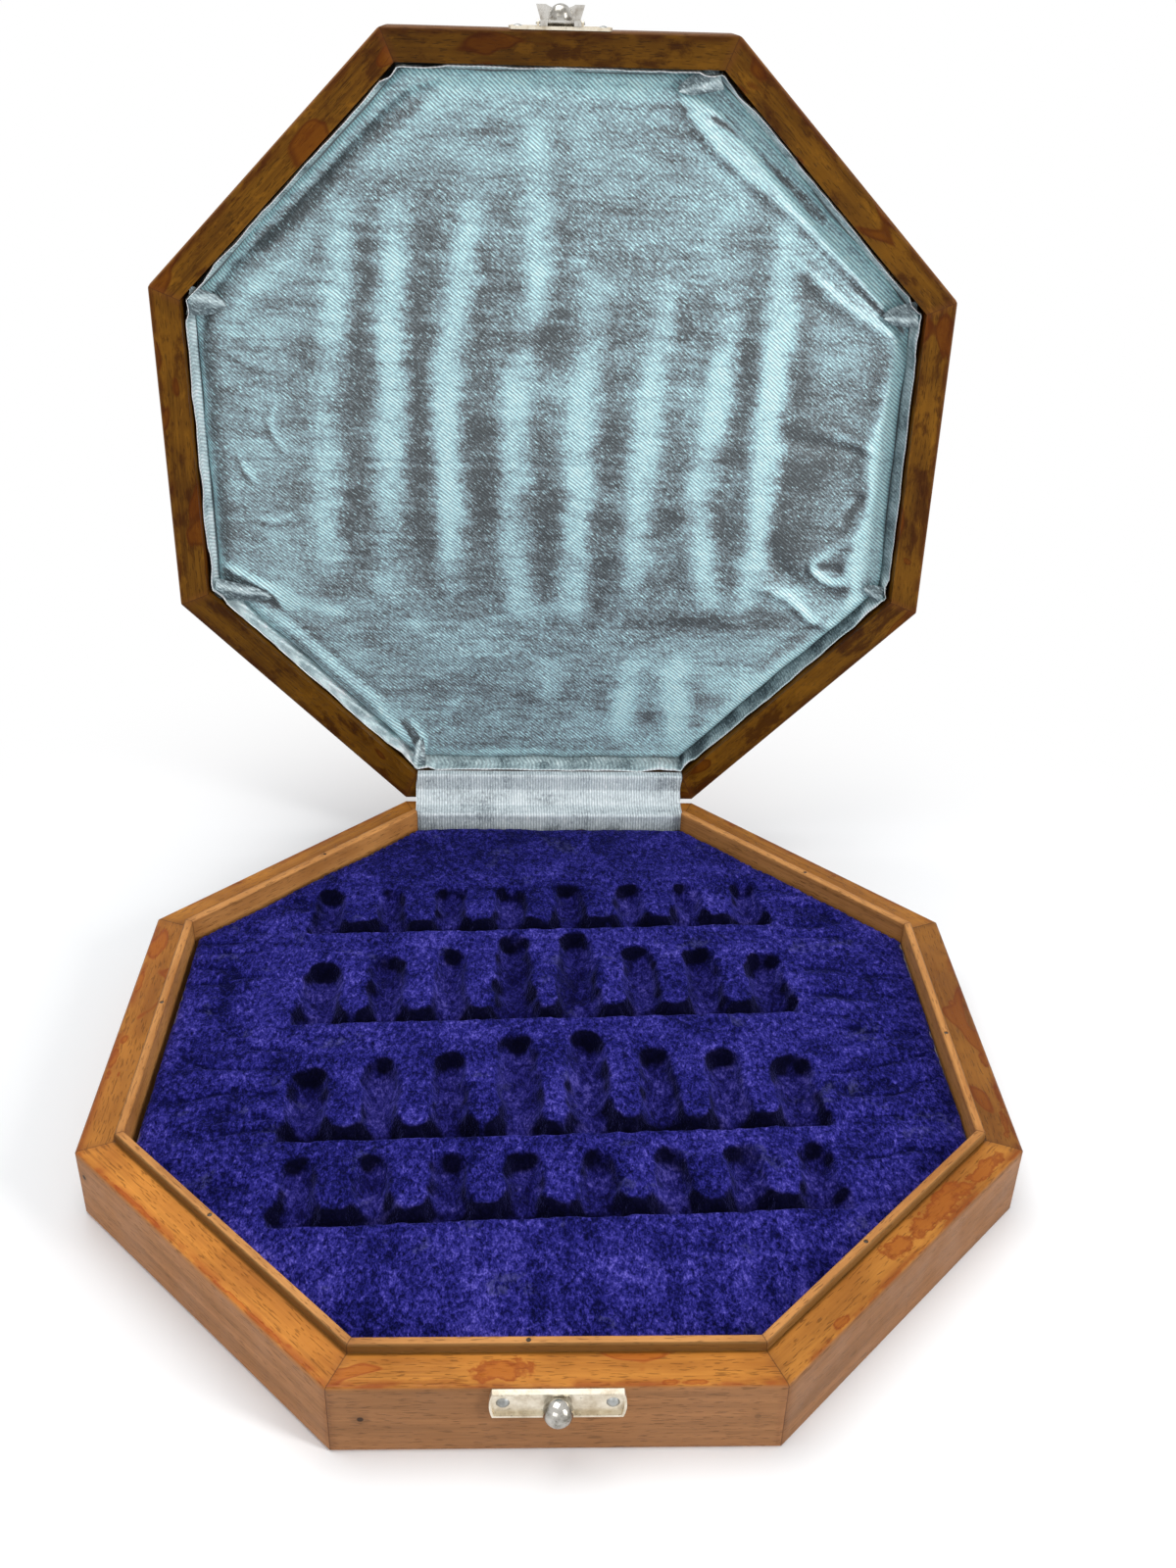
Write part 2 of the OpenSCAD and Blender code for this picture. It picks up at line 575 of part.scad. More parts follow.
module latch_knob() color("gainsboro") on_lid_front()
  translate([0, latch_knob_y, arm_z + sheet_t]) ball_knob(latch_knob_d, latch_knob_l);

for (k = [0:7]) base_rail(k);
bottom_board();
for (k = LIP_SIDES) lip_strip(k);
strip_nails();
tray_board();
for (b = [0:5]) tray_block(b);
velvet_tray();
satin_hinge_strip();
for (k = [0:7]) lid_rail(k);
lid_board();
lining_card();
lining_wall_band();
lining_cushion();
for (h = [0:1]) hinge_base_leaf(2 * h - 1);
for (h = [0:1]) hinge_lid_leaf(2 * h - 1);
for (h = [0:1]) hinge_pin(2 * h - 1);
base_hinge_screws();
lid_hinge_screws();
clasp_base_plate();
clasp_base_knob();
clasp_base_rivets();
clasp_lid_plate();
clasp_lid_rivets();
latch_pin();
latch_arm();
latch_knob();
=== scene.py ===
# %% [markdown]
# # Chess box with hinged lid: dressing the CAD frame
#
# The CAD model already holds every wall, strip, hinge and clasp piece in its right place. This
# script loads it as a fixed frame and gives it its looks: varnished hardwood, nickel-plated
# sheet, a velvet tray with thirty-two soft wells, and a satin lining that has been pressed by
# the pieces for years. Everything is in metres, and the origin is the middle of the underside.

# %% Load the frame
import math

import bpy
import numpy as np
from mathutils import Matrix, Vector


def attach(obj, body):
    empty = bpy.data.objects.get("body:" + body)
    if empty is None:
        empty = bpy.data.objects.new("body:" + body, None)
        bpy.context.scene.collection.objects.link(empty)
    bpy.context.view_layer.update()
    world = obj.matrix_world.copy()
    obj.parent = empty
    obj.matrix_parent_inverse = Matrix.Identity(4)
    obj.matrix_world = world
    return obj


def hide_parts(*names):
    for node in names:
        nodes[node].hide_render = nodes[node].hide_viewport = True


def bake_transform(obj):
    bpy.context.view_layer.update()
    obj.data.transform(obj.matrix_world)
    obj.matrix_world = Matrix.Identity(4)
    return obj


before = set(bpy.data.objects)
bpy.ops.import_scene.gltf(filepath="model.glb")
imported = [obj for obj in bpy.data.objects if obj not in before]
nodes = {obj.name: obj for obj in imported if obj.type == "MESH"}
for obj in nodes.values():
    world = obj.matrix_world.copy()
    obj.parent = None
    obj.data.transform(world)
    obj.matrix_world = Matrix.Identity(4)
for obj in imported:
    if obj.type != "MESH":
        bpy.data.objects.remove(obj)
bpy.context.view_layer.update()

# %% [markdown]
# The soft pieces are made to the same sizes as the solids that they stand for, so the sizes of
# the box are named once here. The lid is easier to think about when it is shut, with its rim at
# z = 0, so one matrix turns anything drawn that way back to the open stop.

# %% Sizes of the box
MM = 0.001
SIDES = ["front", "front_right", "right", "back_right", "back", "back_left", "left", "front_left"]
HALF_W = 150 * MM
BASE_H = 26 * MM
HINGE_Z = 26.6 * MM
LID_OPEN = math.radians(92.9)
LID_INNER = 138.8 * MM
TRAY_A = 134.2 * MM
TRAY_TOP = 22.4 * MM
TRAY_SLIDE = 0.7 * MM
WELL_TURN = math.radians(2.4)
WELL_PITCH = 23.4
WELL_SHIFT = -1.6
CUSHION_A = 136.2 * MM
CUSHION_BACK = 15 * MM
TO_LID = (Matrix.Translation((0, HALF_W, HINGE_Z)) @ Matrix.Rotation(-LID_OPEN, 4, "X")
          @ Matrix.Translation((0, -HALF_W, HINGE_Z - BASE_H)))
FROM_LID = TO_LID.inverted()
print("lid rim, front middle, when open:", [round(v, 4) for v in TO_LID @ Vector((0, -HALF_W, 0))])

# %% [markdown]
# Blender's operators act on whatever is selected, and the loaded nodes still are. These short
# helpers select one piece alone, and read or write all its points at once as an array.

# %% Helpers for meshes
def only(piece):
    for other in bpy.context.selected_objects:
        other.select_set(False)
    if piece:
        piece.select_set(True)
        bpy.context.view_layer.objects.active = piece
    return piece


def newest(name):
    piece = bpy.context.object
    piece.name = piece.data.name = name
    return only(piece)


def points_of(piece):
    flat = np.empty(len(piece.data.vertices) * 3, np.float32)
    piece.data.vertices.foreach_get("co", flat)
    return flat.reshape(-1, 3).astype(float)


def move_points(piece, points):
    piece.data.vertices.foreach_set("co", np.asarray(points, np.float32).ravel())
    piece.data.update()


def set_value(piece, name, values):
    attribute = piece.data.attributes.get(name) or piece.data.attributes.new(name, "FLOAT", "POINT")
    attribute.data.foreach_set("value", np.asarray(values, np.float32))


def in_edit(piece):
    only(piece)
    bpy.ops.object.mode_set(mode="EDIT")
    bpy.ops.mesh.select_mode(type="VERT")
    bpy.ops.mesh.select_all(action="SELECT")


def out_of_edit():
    bpy.ops.object.mode_set(mode="OBJECT")


def smooth_shaded(piece, angle=None):
    only(piece)
    if angle:
        bpy.ops.object.shade_smooth_by_angle(angle=math.radians(angle))
    else:
        bpy.ops.object.shade_smooth()


def freeze(piece):
    """Puts the piece's place and size into its mesh, so that its object lies at the origin."""
    only(piece)
    bpy.ops.object.transform_apply(location=True, rotation=True, scale=True)


def with_modifier(piece, kind, **settings):
    only(piece)
    modifier = piece.modifiers.new(kind.lower(), kind)
    for key, value in settings.items():
        setattr(modifier, key, value)
    bpy.ops.object.modifier_apply(modifier=modifier.name)


def octagon_grid(name, cells, apothem, centre, turn=0.0, close=None):
    """A fine flat grid, cut to an octagon whose flats lie at the apothem.

    close = (share of the lines, share of the width) packs more lines into the middle.
    """
    bpy.ops.mesh.primitive_grid_add(x_subdivisions=cells, y_subdivisions=cells, size=2)
    piece = newest(name)
    flat = points_of(piece)
    if close:
        flat[:, :2] = np.sign(flat[:, :2]) * np.interp(abs(flat[:, :2]), (0, close[0], 1), (0, close[1], 1))
    flat[:, :2] *= 1.05 * apothem
    move_points(piece, flat)
    piece.data.transform(Matrix.Translation(centre) @ Matrix.Rotation(turn, 4, "Z"))
    in_edit(piece)
    for k in range(8):
        out = Vector((math.cos(math.pi / 4 * k), math.sin(math.pi / 4 * k), 0))
        bpy.ops.mesh.select_all(action="SELECT")
        bpy.ops.mesh.bisect(plane_co=Vector(centre) + out * apothem, plane_no=out, clear_outer=True)
    out_of_edit()
    return piece


def pick_open_edge():
    """Selects the open edge of the mesh in edit mode."""
    bpy.ops.mesh.select_all(action="DESELECT")
    bpy.ops.mesh.select_non_manifold(extend=False, use_wire=False, use_boundary=True,
                                     use_multi_face=False, use_non_contiguous=False, use_verts=False)


def draw_out_rim(offset):
    """Extrudes the open edge of the mesh in edit mode by an offset."""
    pick_open_edge()
    bpy.ops.mesh.extrude_region_move(TRANSFORM_OT_translate={"value": offset})


def turn_faces(piece, inside=False):
    """Turns all faces outwards, or inwards on a ring that is seen from within."""
    in_edit(piece)
    bpy.ops.mesh.normals_make_consistent(inside=inside)
    out_of_edit()


# %% [markdown]
# Cloth and worn wood are never regular. A field of smooth random hills, with its seed fixed so
# that every run is the same, gives creases, clumps of pile and faded patches. The same small
# mathematics makes soft steps between 0 and 1.

# %% Helpers for soft surfaces
def eased(t):
    t = np.clip(t, 0, 1)
    return t * t * (3 - 2 * t)


def step(value, low, high):
    return eased((value - low) / (high - low))


def bell(value):
    """1 where the value is 0, and next to nothing from 2 on."""
    return np.exp(-value ** 2)


def hills(u, v, wide, long, seed):
    """Random hills about wide by long, between -1 and 1."""
    lattice = np.random.default_rng(seed).uniform(-1, 1, (61, 61))
    a, b = u / wide, v / long
    i, j = np.floor(a).astype(int), np.floor(b).astype(int)
    s, t = eased(a - i), eased(b - j)

    def at(p, q):
        return lattice[p % 61, q % 61]
    return (at(i, j) * (1 - s) * (1 - t) + at(i + 1, j) * s * (1 - t)
            + at(i, j + 1) * (1 - s) * t + at(i + 1, j + 1) * s * t)


def octagon_depth(x, y, apothem):
    """How far inside the octagon's nearest side a point lies."""
    return apothem - np.maximum(np.maximum(abs(x), abs(y)), (abs(x) + abs(y)) / math.sqrt(2))


def blurred(field, sigma):
    """A soft copy of a raster, sigma in its own cells."""
    reach = int(3 * sigma) + 1
    weights = np.exp(-0.5 * (np.arange(-reach, reach + 1) / sigma) ** 2)
    weights /= weights.sum()
    for axis in (0, 1):
        padded = np.pad(field, [(reach, reach) if a == axis else (0, 0) for a in (0, 1)], mode="edge")
        field = sum(w * np.take(padded, np.arange(k, k + field.shape[axis]), axis=axis)
                    for k, w in enumerate(weights))
    return field


print("hills repeat:", round(float(hills(np.array([3.2]), np.array([1.1]), 2, 2, 5)[0]), 4))

# %% [markdown]
# A finish is a tree of shader nodes. These helpers add a node, link what is a socket and set
# what is a plain number, so that a finish reads like its recipe.

# %% Helpers for finishes
def new_finish(name, **constants):
    """Starts a material. The helpers below add their nodes to the tree of the newest one."""
    global tree
    material = bpy.data.materials.new(name)
    material.use_nodes = True
    tree = material.node_tree
    shader = tree.nodes["Principled BSDF"]
    for key, value in constants.items():
        shader.inputs[key.replace("_", " ")].default_value = value
    return material, shader


def add(kind, sockets=None, **settings):
    made = tree.nodes.new("ShaderNode" + kind)
    for key, value in settings.items():
        setattr(made, key, value)
    for key, value in (sockets or {}).items():
        if isinstance(value, bpy.types.NodeSocket):
            tree.links.new(value, made.inputs[key])
        else:
            made.inputs[key].default_value = value
    return made


def plug(value, shader, socket):
    tree.links.new(value, shader.inputs[socket])


def calc(operation, a, b=0.0):
    return add("Math", {0: a, 1: b}, operation=operation).outputs[0]


def times(a, b):
    return calc("MULTIPLY", a, b)


def plus(a, b):
    return calc("ADD", a, b)


def minus(a, b):
    return calc("SUBTRACT", a, b)


def highest(a, b):
    return calc("MAXIMUM", a, b)


def distance(*axes):
    """How far a point is from a middle, where each axis is (place, middle in mm, unit)."""
    return calc("SQRT", plus(*[calc("POWER", calc("DIVIDE", minus(place, middle * MM), unit), 2.0)
                               for place, middle, unit in axes]))


# %% Helpers for colours and patterns
def spread(value, low, high, first=0.0, last=1.0):
    """A soft step: first below low, last above high."""
    return add("MapRange", {"Value": value, "From Min": low, "From Max": high, "To Min": first,
                            "To Max": last}, interpolation_type="SMOOTHSTEP").outputs["Result"]


def tinted(colour, *shares):
    """A colour times one share, or times a share for each of red, green and blue."""
    return [c * share for c, share in zip(colour, shares * (3 // len(shares)))]


def mixed(amount, a, b, how="MIX"):
    a, b = [c if isinstance(c, bpy.types.NodeSocket) else (*c, 1) for c in (a, b)]
    return add("Mix", {0: amount, 6: a, 7: b}, data_type="RGBA", blend_type=how).outputs[2]


def ramp(value, stops):
    made = add("ValToRGB", {0: value})
    elements = made.color_ramp.elements
    elements[0].position, elements[0].color = stops[0][0], (*stops[0][1], 1)
    elements[1].position, elements[1].color = stops[-1][0], (*stops[-1][1], 1)
    for position, colour in stops[1:-1]:
        elements.new(position).color = (*colour, 1)
    return made.outputs["Color"]


def moved(vector, turn=(0, 0, 0), place=(0, 0, 0), scale=(1, 1, 1)):
    return add("Mapping", {"Vector": vector, "Rotation": turn, "Location": place, "Scale": scale}).outputs[0]


def object_place(in_lid=False):
    """Object coordinates, turned back to the shut lid for what lies in the open one."""
    here = add("TexCoord").outputs["Object"]
    return moved(here, turn=FROM_LID.to_euler(), place=FROM_LID.to_translation()) if in_lid else here


def noise(vector, scale, detail=2.0, rough=0.5, warp=0.0):
    return add("TexNoise", {"Vector": vector, "Scale": scale, "Detail": detail,
                            "Roughness": rough, "Distortion": warp}).outputs[0]


def drawn_noise(vector, scale, detail=2.0, rough=0.5, warp=0.0, place=(0, 0, 0)):
    """Noise that is drawn out, with its own scale along each axis."""
    return noise(moved(vector, place=place, scale=scale), 1.0, detail, rough, warp)


def shaken(vector, here, scale, detail, reach):
    """A vector pushed about by soft noise, so that straight lines waver."""
    push = add("TexNoise", {"Vector": here, "Scale": scale, "Detail": detail}).outputs[1]
    push = add("VectorMath", {0: push, 1: (reach,) * 3}, operation="MULTIPLY").outputs[0]
    return add("VectorMath", {0: vector, 1: push}, operation="ADD").outputs[0]


def relief(shader, height, depth, strength=1.0):
    bump = add("Bump", {"Height": height, "Distance": depth, "Strength": strength})
    plug(bump.outputs[0], shader, "Normal")


def wear(piece, material):
    piece.data.materials.clear()
    piece.data.materials.append(material)


# %% [markdown]
# ## Wood
#
# The walls are a straight-grained reddish hardwood. Each one is sawn from a board, mitred and
# varnished, so its grain runs along it, turns at every corner, and the mitre shows as a thin
# dark line. A picture could not turn with eight walls, so the grain is built in each wall's own
# axes: along, in from the outer face, and up. Noise that is drawn out along the wall gives the
# rings, the dark streaks, the fibres and the short open pores.

# %% Grain
def wall_axes(side, lid):
    """Object coordinates turned into one wall's own axes."""
    return moved(object_place(lid), turn=(0, 0, -math.pi / 4 * SIDES.index(side)), place=(0, HALF_W, 0))


def grain(grown, light, dark):
    """The colour of the bare wood, and the patterns that it is made of."""
    drawn = shaken(grown, grown, 22.0, 1.0, 1.5 * MM)
    rings = drawn_noise(drawn, (5, 170, 170), 5, 0.66)
    streaks = drawn_noise(drawn, (9, 420, 420), 4, 0.7)
    fibres = drawn_noise(drawn, (45, 1100, 1100), 3, 0.6)
    pores = spread(drawn_noise(drawn, (270, 2300, 2300), 1, 0.4), 0.60, 0.69)
    colour = light
    for pattern, low, high, amount, tint in (
            (rings, 0.34, 0.70, 0.85, dark), (streaks, 0.52, 0.66, 0.55, tinted(dark, 0.62)),
            (fibres, 0.3, 0.75, 0.5, dark),
            (noise(grown, 26.0, 3, 0.55), 0.35, 0.7, 0.5, tinted(light, 1.35)),
            (noise(grown, 45.0, 2), 0.5, 0.72, 0.45, dark)):
        colour = mixed(spread(pattern, low, high, 0.0, amount), colour, tint)
    return mixed(times(pores, 0.5), colour, tinted(dark, 0.3)), rings, fibres, pores


def outer_colour(outer, rings, fibres, pores):
    """The duller colour of the outer faces, over the same grain."""
    plain = mixed(spread(rings, 0.3, 0.72), outer, tinted(outer, 0.62))
    plain = mixed(spread(fibres, 0.35, 0.8, 0.0, 0.4), plain, tinted(outer, 0.5))
    return mixed(times(pores, 0.45), plain, tinted(outer, 0.25))


# %% [markdown]
# The varnish has run into red-brown pools with darker outlines, mostly along the right front
# rim. Noise alone would spread such pools evenly, so the large ones have their own places and
# only their frayed edges are noise. The heads of two brads show as dark holes in the front.

# %% Varnish pools, brads and mitres
BRADS = {  # along, up, darkness
    "front": [(-53.2, 13.7, 1.0), (54.5, 13.7, 0.3)], "front_left": [(-58.0, 18.2, 1.0)]}
POOLS = {  # along, inward, half length and half width, in mm
    "front": [(-15.4, 5.8, 7.5, 3.6), (30, 1.6, 2.2, 1.0), (37, 1.6, 3.0, 0.8)],
    "front_right": [(24, 6.2, 17, 3.6), (-1, 6.6, 5.0, 4.0), (46, 4.6, 9, 2.4), (-34, 2.4, 3.5, 1.4)],
    "right": [(12, 6.0, 1.6, 1.4), (-19, 1.8, 4.0, 1.5), (-36, 1.2, 5.0, 1.3), (-50, 3.0, 6, 1.2)],
    "left": [(18, 2.0, 8, 1.2), (-24, 1.6, 7, 1.2)],
    "front_left": [(-30, 1.2, 12, 0.9), (28, 1.0, 14, 0.8)]}
POOL_LIMIT = 0.64  # of the noise, above which varnish lies


def varnish_field(grown, along, inward, places, amount):
    """A field that rises over POOL_LIMIT - 0.1 * amount where varnish has run together."""
    field = highest(drawn_noise(grown, (30, 64, 64), 1.6, 0.5, 0.35),
                    minus(drawn_noise(grown, (110, 190, 190), 1, 0.5, 0.3, place=(3, 1, 2)), 0.17))
    for x, y, half_l, half_w in places:
        away = distance((along, x, half_l * MM), (inward, y, half_w * MM))
        frayed = times(minus(noise(grown, 210.0, 3, 0.6), 0.5), 0.16)
        spilt = plus(times(minus(1.0, away), 0.07), frayed)
        field = highest(field, plus(spilt, POOL_LIMIT + 0.01 - 0.1 * amount))
    return field


def with_pools(colour, field, inward, limit, light, dark):
    """Pools with a darker line round each, on the rim only. Also gives where the pools are."""
    inside = spread(field, limit, limit + 0.025)
    line = minus(inside, spread(field, limit + 0.018, limit + 0.045))
    rim_only = spread(inward, 0.0002, 0.0012)
    colour = mixed(times(times(inside, rim_only), 0.65), colour, tinted(light, 0.72, 0.42, 0.2))
    return mixed(times(times(line, rim_only), 0.6), colour, tinted(dark, 0.8, 0.42, 0.4)), inside


def with_mitres(colour, along, inward):
    reach = times(calc("ABSOLUTE", along), math.cos(math.pi / 8))
    gap = calc("ABSOLUTE", minus(reach, times(minus(HALF_W, inward), math.sin(math.pi / 8))))
    colour = mixed(spread(gap, 0.00026, 0.00006, 0.0, 0.62), colour, (0.03, 0.012, 0.005))
    return mixed(spread(gap, 0.003, 0.0004, 0.0, 0.22), colour, (0.16, 0.05, 0.015))


def with_brads(colour, along, up, face, places):
    for x, z, darkness in places:
        away = distance((along, x, 1.0), (up, z, 1.0))
        hole = spread(away, 0.0011, 0.0007, 0.0, darkness)
        halo = spread(away, 0.0034, 0.0008, 0.0, 0.35 * darkness)
        colour = mixed(times(hole, face), colour, (0.025, 0.013, 0.008))
        colour = mixed(times(halo, face), colour, (0.10, 0.05, 0.025))
    return colour


# %% Wood finish
def wood(name, side, lid, light, dark, outer, pools, seed, tone=1.0, wall=True):
    material, shader = new_finish(name, Specular_IOR_Level=0.07 if lid else 0.14)
    own = wall_axes(side, lid)
    along, inward, up = add("SeparateXYZ", {0: own}).outputs
    grown = moved(own, place=(seed * 0.37, seed * 0.11, seed * 0.23))
    on_base = wall and not lid
    colour, rings, fibres, pores = grain(grown, light, dark)
    if lid and wall:  # old stain in blotches
        blotch = drawn_noise(grown, (55, 110, 110), 5, 0.68, 0.2)
        colour = mixed(spread(blotch, 0.50, 0.64, 0.0, 0.72), colour, tinted(dark, 0.55, 0.3, 0.3))
        colour = mixed(spread(blotch, 0.42, 0.34, 0.0, 0.4), colour, tinted(light, 1.5))
    field = varnish_field(grown, along, inward, POOLS.get(side, []) if on_base else [], pools)
    colour, inside = with_pools(colour, field, inward, POOL_LIMIT - 0.1 * pools, light, dark)
    if on_base:  # dark line where the wall meets its strip: a dark joint, with painted shade at the strip's foot
        seam_and_shade = times(spread(inward, 0.0105, 0.0113), spread(inward, 0.0124, 0.0118))
        colour = mixed(times(seam_and_shade, 0.75), colour, tinted(dark, 0.3, 0.4, 0.4))
    # stain caught along the outer edge of the rim
    edge = times(spread(inward, 0.0042, 0.0008), spread(drawn_noise(grown, (90, 200, 200), 3), 0.40, 0.60))
    colour = mixed(times(edge, 0.7), colour, tinted(dark, 0.8, 0.42, 0.4))
    face = spread(inward, 0.0009, 0.0001)
    colour = mixed(face, colour, outer_colour(outer, rings, fibres, pores))
    if wall:
        colour = with_mitres(colour, along, inward)
    if on_base:
        colour = with_brads(colour, along, up, face, BRADS.get(side, []))
    if tone != 1.0:
        colour = mixed(1.0, colour, (tone, tone, tone), "MULTIPLY")
    plug(colour, shader, "Base Color")
    gloss = spread(noise(grown, 60.0, 3), 0.3, 0.7, 0.34, 0.52)
    plug(plus(gloss, times(face, 0.12)), shader, "Roughness")
    relief(shader, plus(minus(times(fibres, 0.5), pores), times(inside, 0.25)), 0.00012, 0.7)
    return material


# %% [markdown]
# The base rims are honey orange and the lid rims a deeper umber, because the lid's rims stand
# upright and have darkened. Every wall is a little different, as eight offcuts would be, so the
# tone and the amount of spilt varnish are set wall by wall.

# %% Walls
STRIP_TAN, STRIP_DARK, STRIP_OUTER = (0.56, 0.26, 0.08), (0.36, 0.14, 0.035), (0.30, 0.15, 0.06)
BOARD_TAN, BOARD_DARK, BOARD_OUTER = (0.40, 0.19, 0.07), (0.24, 0.095, 0.03), (0.3, 0.15, 0.07)
NO_POOLS = -2.0
HONEY, HONEY_DARK, BASE_OUTER = (0.55, 0.22, 0.036), (0.31, 0.10, 0.014), (0.385, 0.175, 0.07)
UMBER, UMBER_DARK, LID_OUTER = (0.160, 0.066, 0.005), (0.058, 0.020, 0.002), (0.23, 0.10, 0.036)
# a tone and an amount of spilt varnish for each wall, in the order of SIDES
BASE_TONES = [(0.97, 0.1), (0.74, 0.2), (0.48, 0.2), (0.62, 0.3),
              (0.7, 0.2), (0.72, 0.3), (0.84, 0.3), (1.2, 0.0)]
LID_TONES = [(0.72, 0.5), (1.0, 0.5), (1.05, 0.55), (0.9, 0.2),
             (0.8, 0.1), (0.85, 0.1), (1.15, 0.4), (1.2, 0.15)]
for k, side in enumerate(SIDES):
    tone, pools = BASE_TONES[k]
    wear(nodes["base_rail_" + side], wood("base_wall_wood_" + side, side, False, HONEY, HONEY_DARK,
                                          BASE_OUTER, pools, 3.1 + k, tone))
    tone, pools = LID_TONES[k]
    wear(nodes["lid_rail_" + side], wood("lid_wall_wood_" + side, side, True, UMBER, UMBER_DARK,
                                         LID_OUTER, pools, 13.7 + k, tone))
    if side != "back":
        wear(nodes["lip_strip_" + side], wood("lip_strip_wood_" + side, side, False, STRIP_TAN, STRIP_DARK,
                                              STRIP_OUTER, -0.6, 23.3 + k))
for name, tint, seed in (("bottom_board", 1.0, 41.0), ("lid_board", 0.72, 43.0)):
    wear(nodes[name], wood(name + "_wood", "front", name == "lid_board", BOARD_TAN, BOARD_DARK, BOARD_OUTER,
                           NO_POOLS, seed, tone=tint, wall=False))
print("wooden pieces:", sum("wood" in m.name for m in bpy.data.materials))


# %% [markdown]
# ## Packing, card and metal
#
# The board and blocks under the velvet are grey pressed board, seen only through the slit at
# the tray's edge. The clasp is pressed from thin sheet and nickel plated, and the plating has
# gone cloudy and warm. The knobs are turned and stay bright. Hinges and nails are plain steel.

# %% Packing and card
def pressed_board(name, colour):
    material, shader = new_finish(name, Roughness=0.9)
    here = object_place()
    grain = noise(here, 700.0, 4, 0.7)
    cloud = noise(here, 40.0, 2)
    tint = mixed(spread(grain, 0.3, 0.7), tinted(colour, 0.7), colour)
    tint = mixed(spread(cloud, 0.3, 0.7, 0.0, 0.4), tint, tinted(colour, 0.5))
    plug(tint, shader, "Base Color")
    relief(shader, grain, 0.0001)
    return material


packing = pressed_board("packing_board_finish", (0.20, 0.16, 0.12))
for name in nodes:
    if name.startswith("tray_b"):
        wear(nodes[name], packing)
# painted shade: the card is coloured dark blue-grey to read as the shadowed gap between band and panel
wear(nodes["lining_card"], pressed_board("card_painted_shade", (0.16, 0.19, 0.20)))


# %% Plated and plain metal
def metal(name, colour, dull, rough, cloudy, grain=0.0):
    """Plated sheet: colour where bright, dull where the plating has clouded."""
    material, shader = new_finish(name, Metallic=1.0)
    here = object_place()
    cloud = noise(here, 260.0, 5, 0.65)
    spots = spread(noise(here, 900.0, 3, 0.6), 0.62, 0.72)
    amount = spread(cloud, 0.62 - cloudy * 0.3, 0.72, 0.0, 1.0)
    tint = mixed(amount, colour, dull)
    tint = mixed(times(spots, 0.5 * cloudy), tint, tinted(dull, 0.35))
    plug(tint, shader, "Base Color")
    plug(plus(plus(rough, times(amount, 0.22)), times(spots, 0.15)), shader, "Roughness")
    scratch = drawn_noise(here, (120, 2600, 2600), 2)
    relief(shader, plus(times(cloud, 0.6), times(scratch, grain)), 0.00004, 0.6)
    return material


plated_sheet = metal("clouded_nickel_sheet", (0.80, 0.74, 0.62), (0.56, 0.48, 0.36), 0.30, 1.0, 0.4)
latch_sheet = metal("nickel_latch_sheet", (0.62, 0.60, 0.56), (0.34, 0.31, 0.27), 0.22, 0.8, 0.4)
plated_pin = metal("grey_nickel_pins", (0.40, 0.41, 0.40), (0.22, 0.22, 0.21), 0.34, 0.9)
plated_knob = metal("bright_nickel_knob", (0.50, 0.48, 0.44), (0.16, 0.145, 0.12), 0.12, 0.9)
hinge_metal = metal("hinge_steel_finish", (0.55, 0.53, 0.49), (0.30, 0.27, 0.23), 0.32, 0.8, 0.8)
nail_metal = metal("nail_steel_finish", (0.14, 0.12, 0.10), (0.06, 0.045, 0.035), 0.5, 1.0)
for names, finish in ((["clasp_base_plate", "clasp_lid_plate"], plated_sheet), (["latch_arm"], latch_sheet),
                      (["clasp_base_rivets", "clasp_lid_rivets", "latch_pin"], plated_pin),
                      (["clasp_base_knob", "latch_knob"], plated_knob), (["strip_nails"], nail_metal),
                      ([n for n in nodes if "hinge_" in n and "satin" not in n], hinge_metal)):
    for name in names:
        wear(nodes[name], finish)
print("plated nodes:", [n for n in nodes if nodes[n].data.materials
                        and "nickel" in nodes[n].data.materials[0].name])

# %% [markdown]
# ## Velvet tray
#
# One piece of velvet is glued over the packing and pressed into thirty-two wells with a long
# slit along the feet of each row. Pile can't make a sharp or a straight edge, so the hollows are
# first drawn as a fine raster of depths, on axes that waver, and then blurred by about the
# pile's own thickness. A grid cut to the tray's octagon takes its heights from that raster. A
# simulation would have to be pulled into every well; moving the points of a grid gives the
# same result and full control.

# %% Depths of the wells
PAWN, ROOK, KNIGHT = (27, 8.2, 5.9, 5.3), (33, 9.0, 6.9, 6.7), (37.5, 9.0, 6.4, 6.2)
BISHOP, QUEEN, KING = (39.5, 9.2, 6.5, 5.4), (48, 9.4, 7.4, 6.1), (49, 9.4, 7.4, 6.5)
MEN = [ROOK, KNIGHT, BISHOP, QUEEN, KING, BISHOP, KNIGHT, ROOK]
ROWS = [(-85, [PAWN] * 8), (-49, MEN), (9.5, MEN), (63, [PAWN] * 8)]
POCKET_L, SLIT_W, SLIT_DEPTH, TROUGH_DEPTH = 5.2, 2.8, 5.0, 3.4
NECK_V, PILE_BLUR, CELL = POCKET_L + 4, 0.65, 0.25


def well_depth(u, v, kind):
    """Depth of one lying piece's hollow at u across its middle and v along it, in mm."""
    length, pocket_r, body_r, head_r = kind
    head_v = length - head_r
    radius = np.where(v < head_v, body_r + (head_r - body_r) * (v - NECK_V) / (head_v - NECK_V), 0)
    radius = np.where(v < NECK_V, body_r + 1.5 * (1 - (v - POCKET_L) / 4), radius)
    radius = np.where(v >= head_v, np.sqrt(np.maximum(0, head_r ** 2 - (v - head_v) ** 2)), radius)
    radius = np.where(v < POCKET_L, pocket_r, radius)
    radius = np.where((v < 0) | (v > length), 0, radius)
    return np.sqrt(np.maximum(0, radius ** 2 - u ** 2))


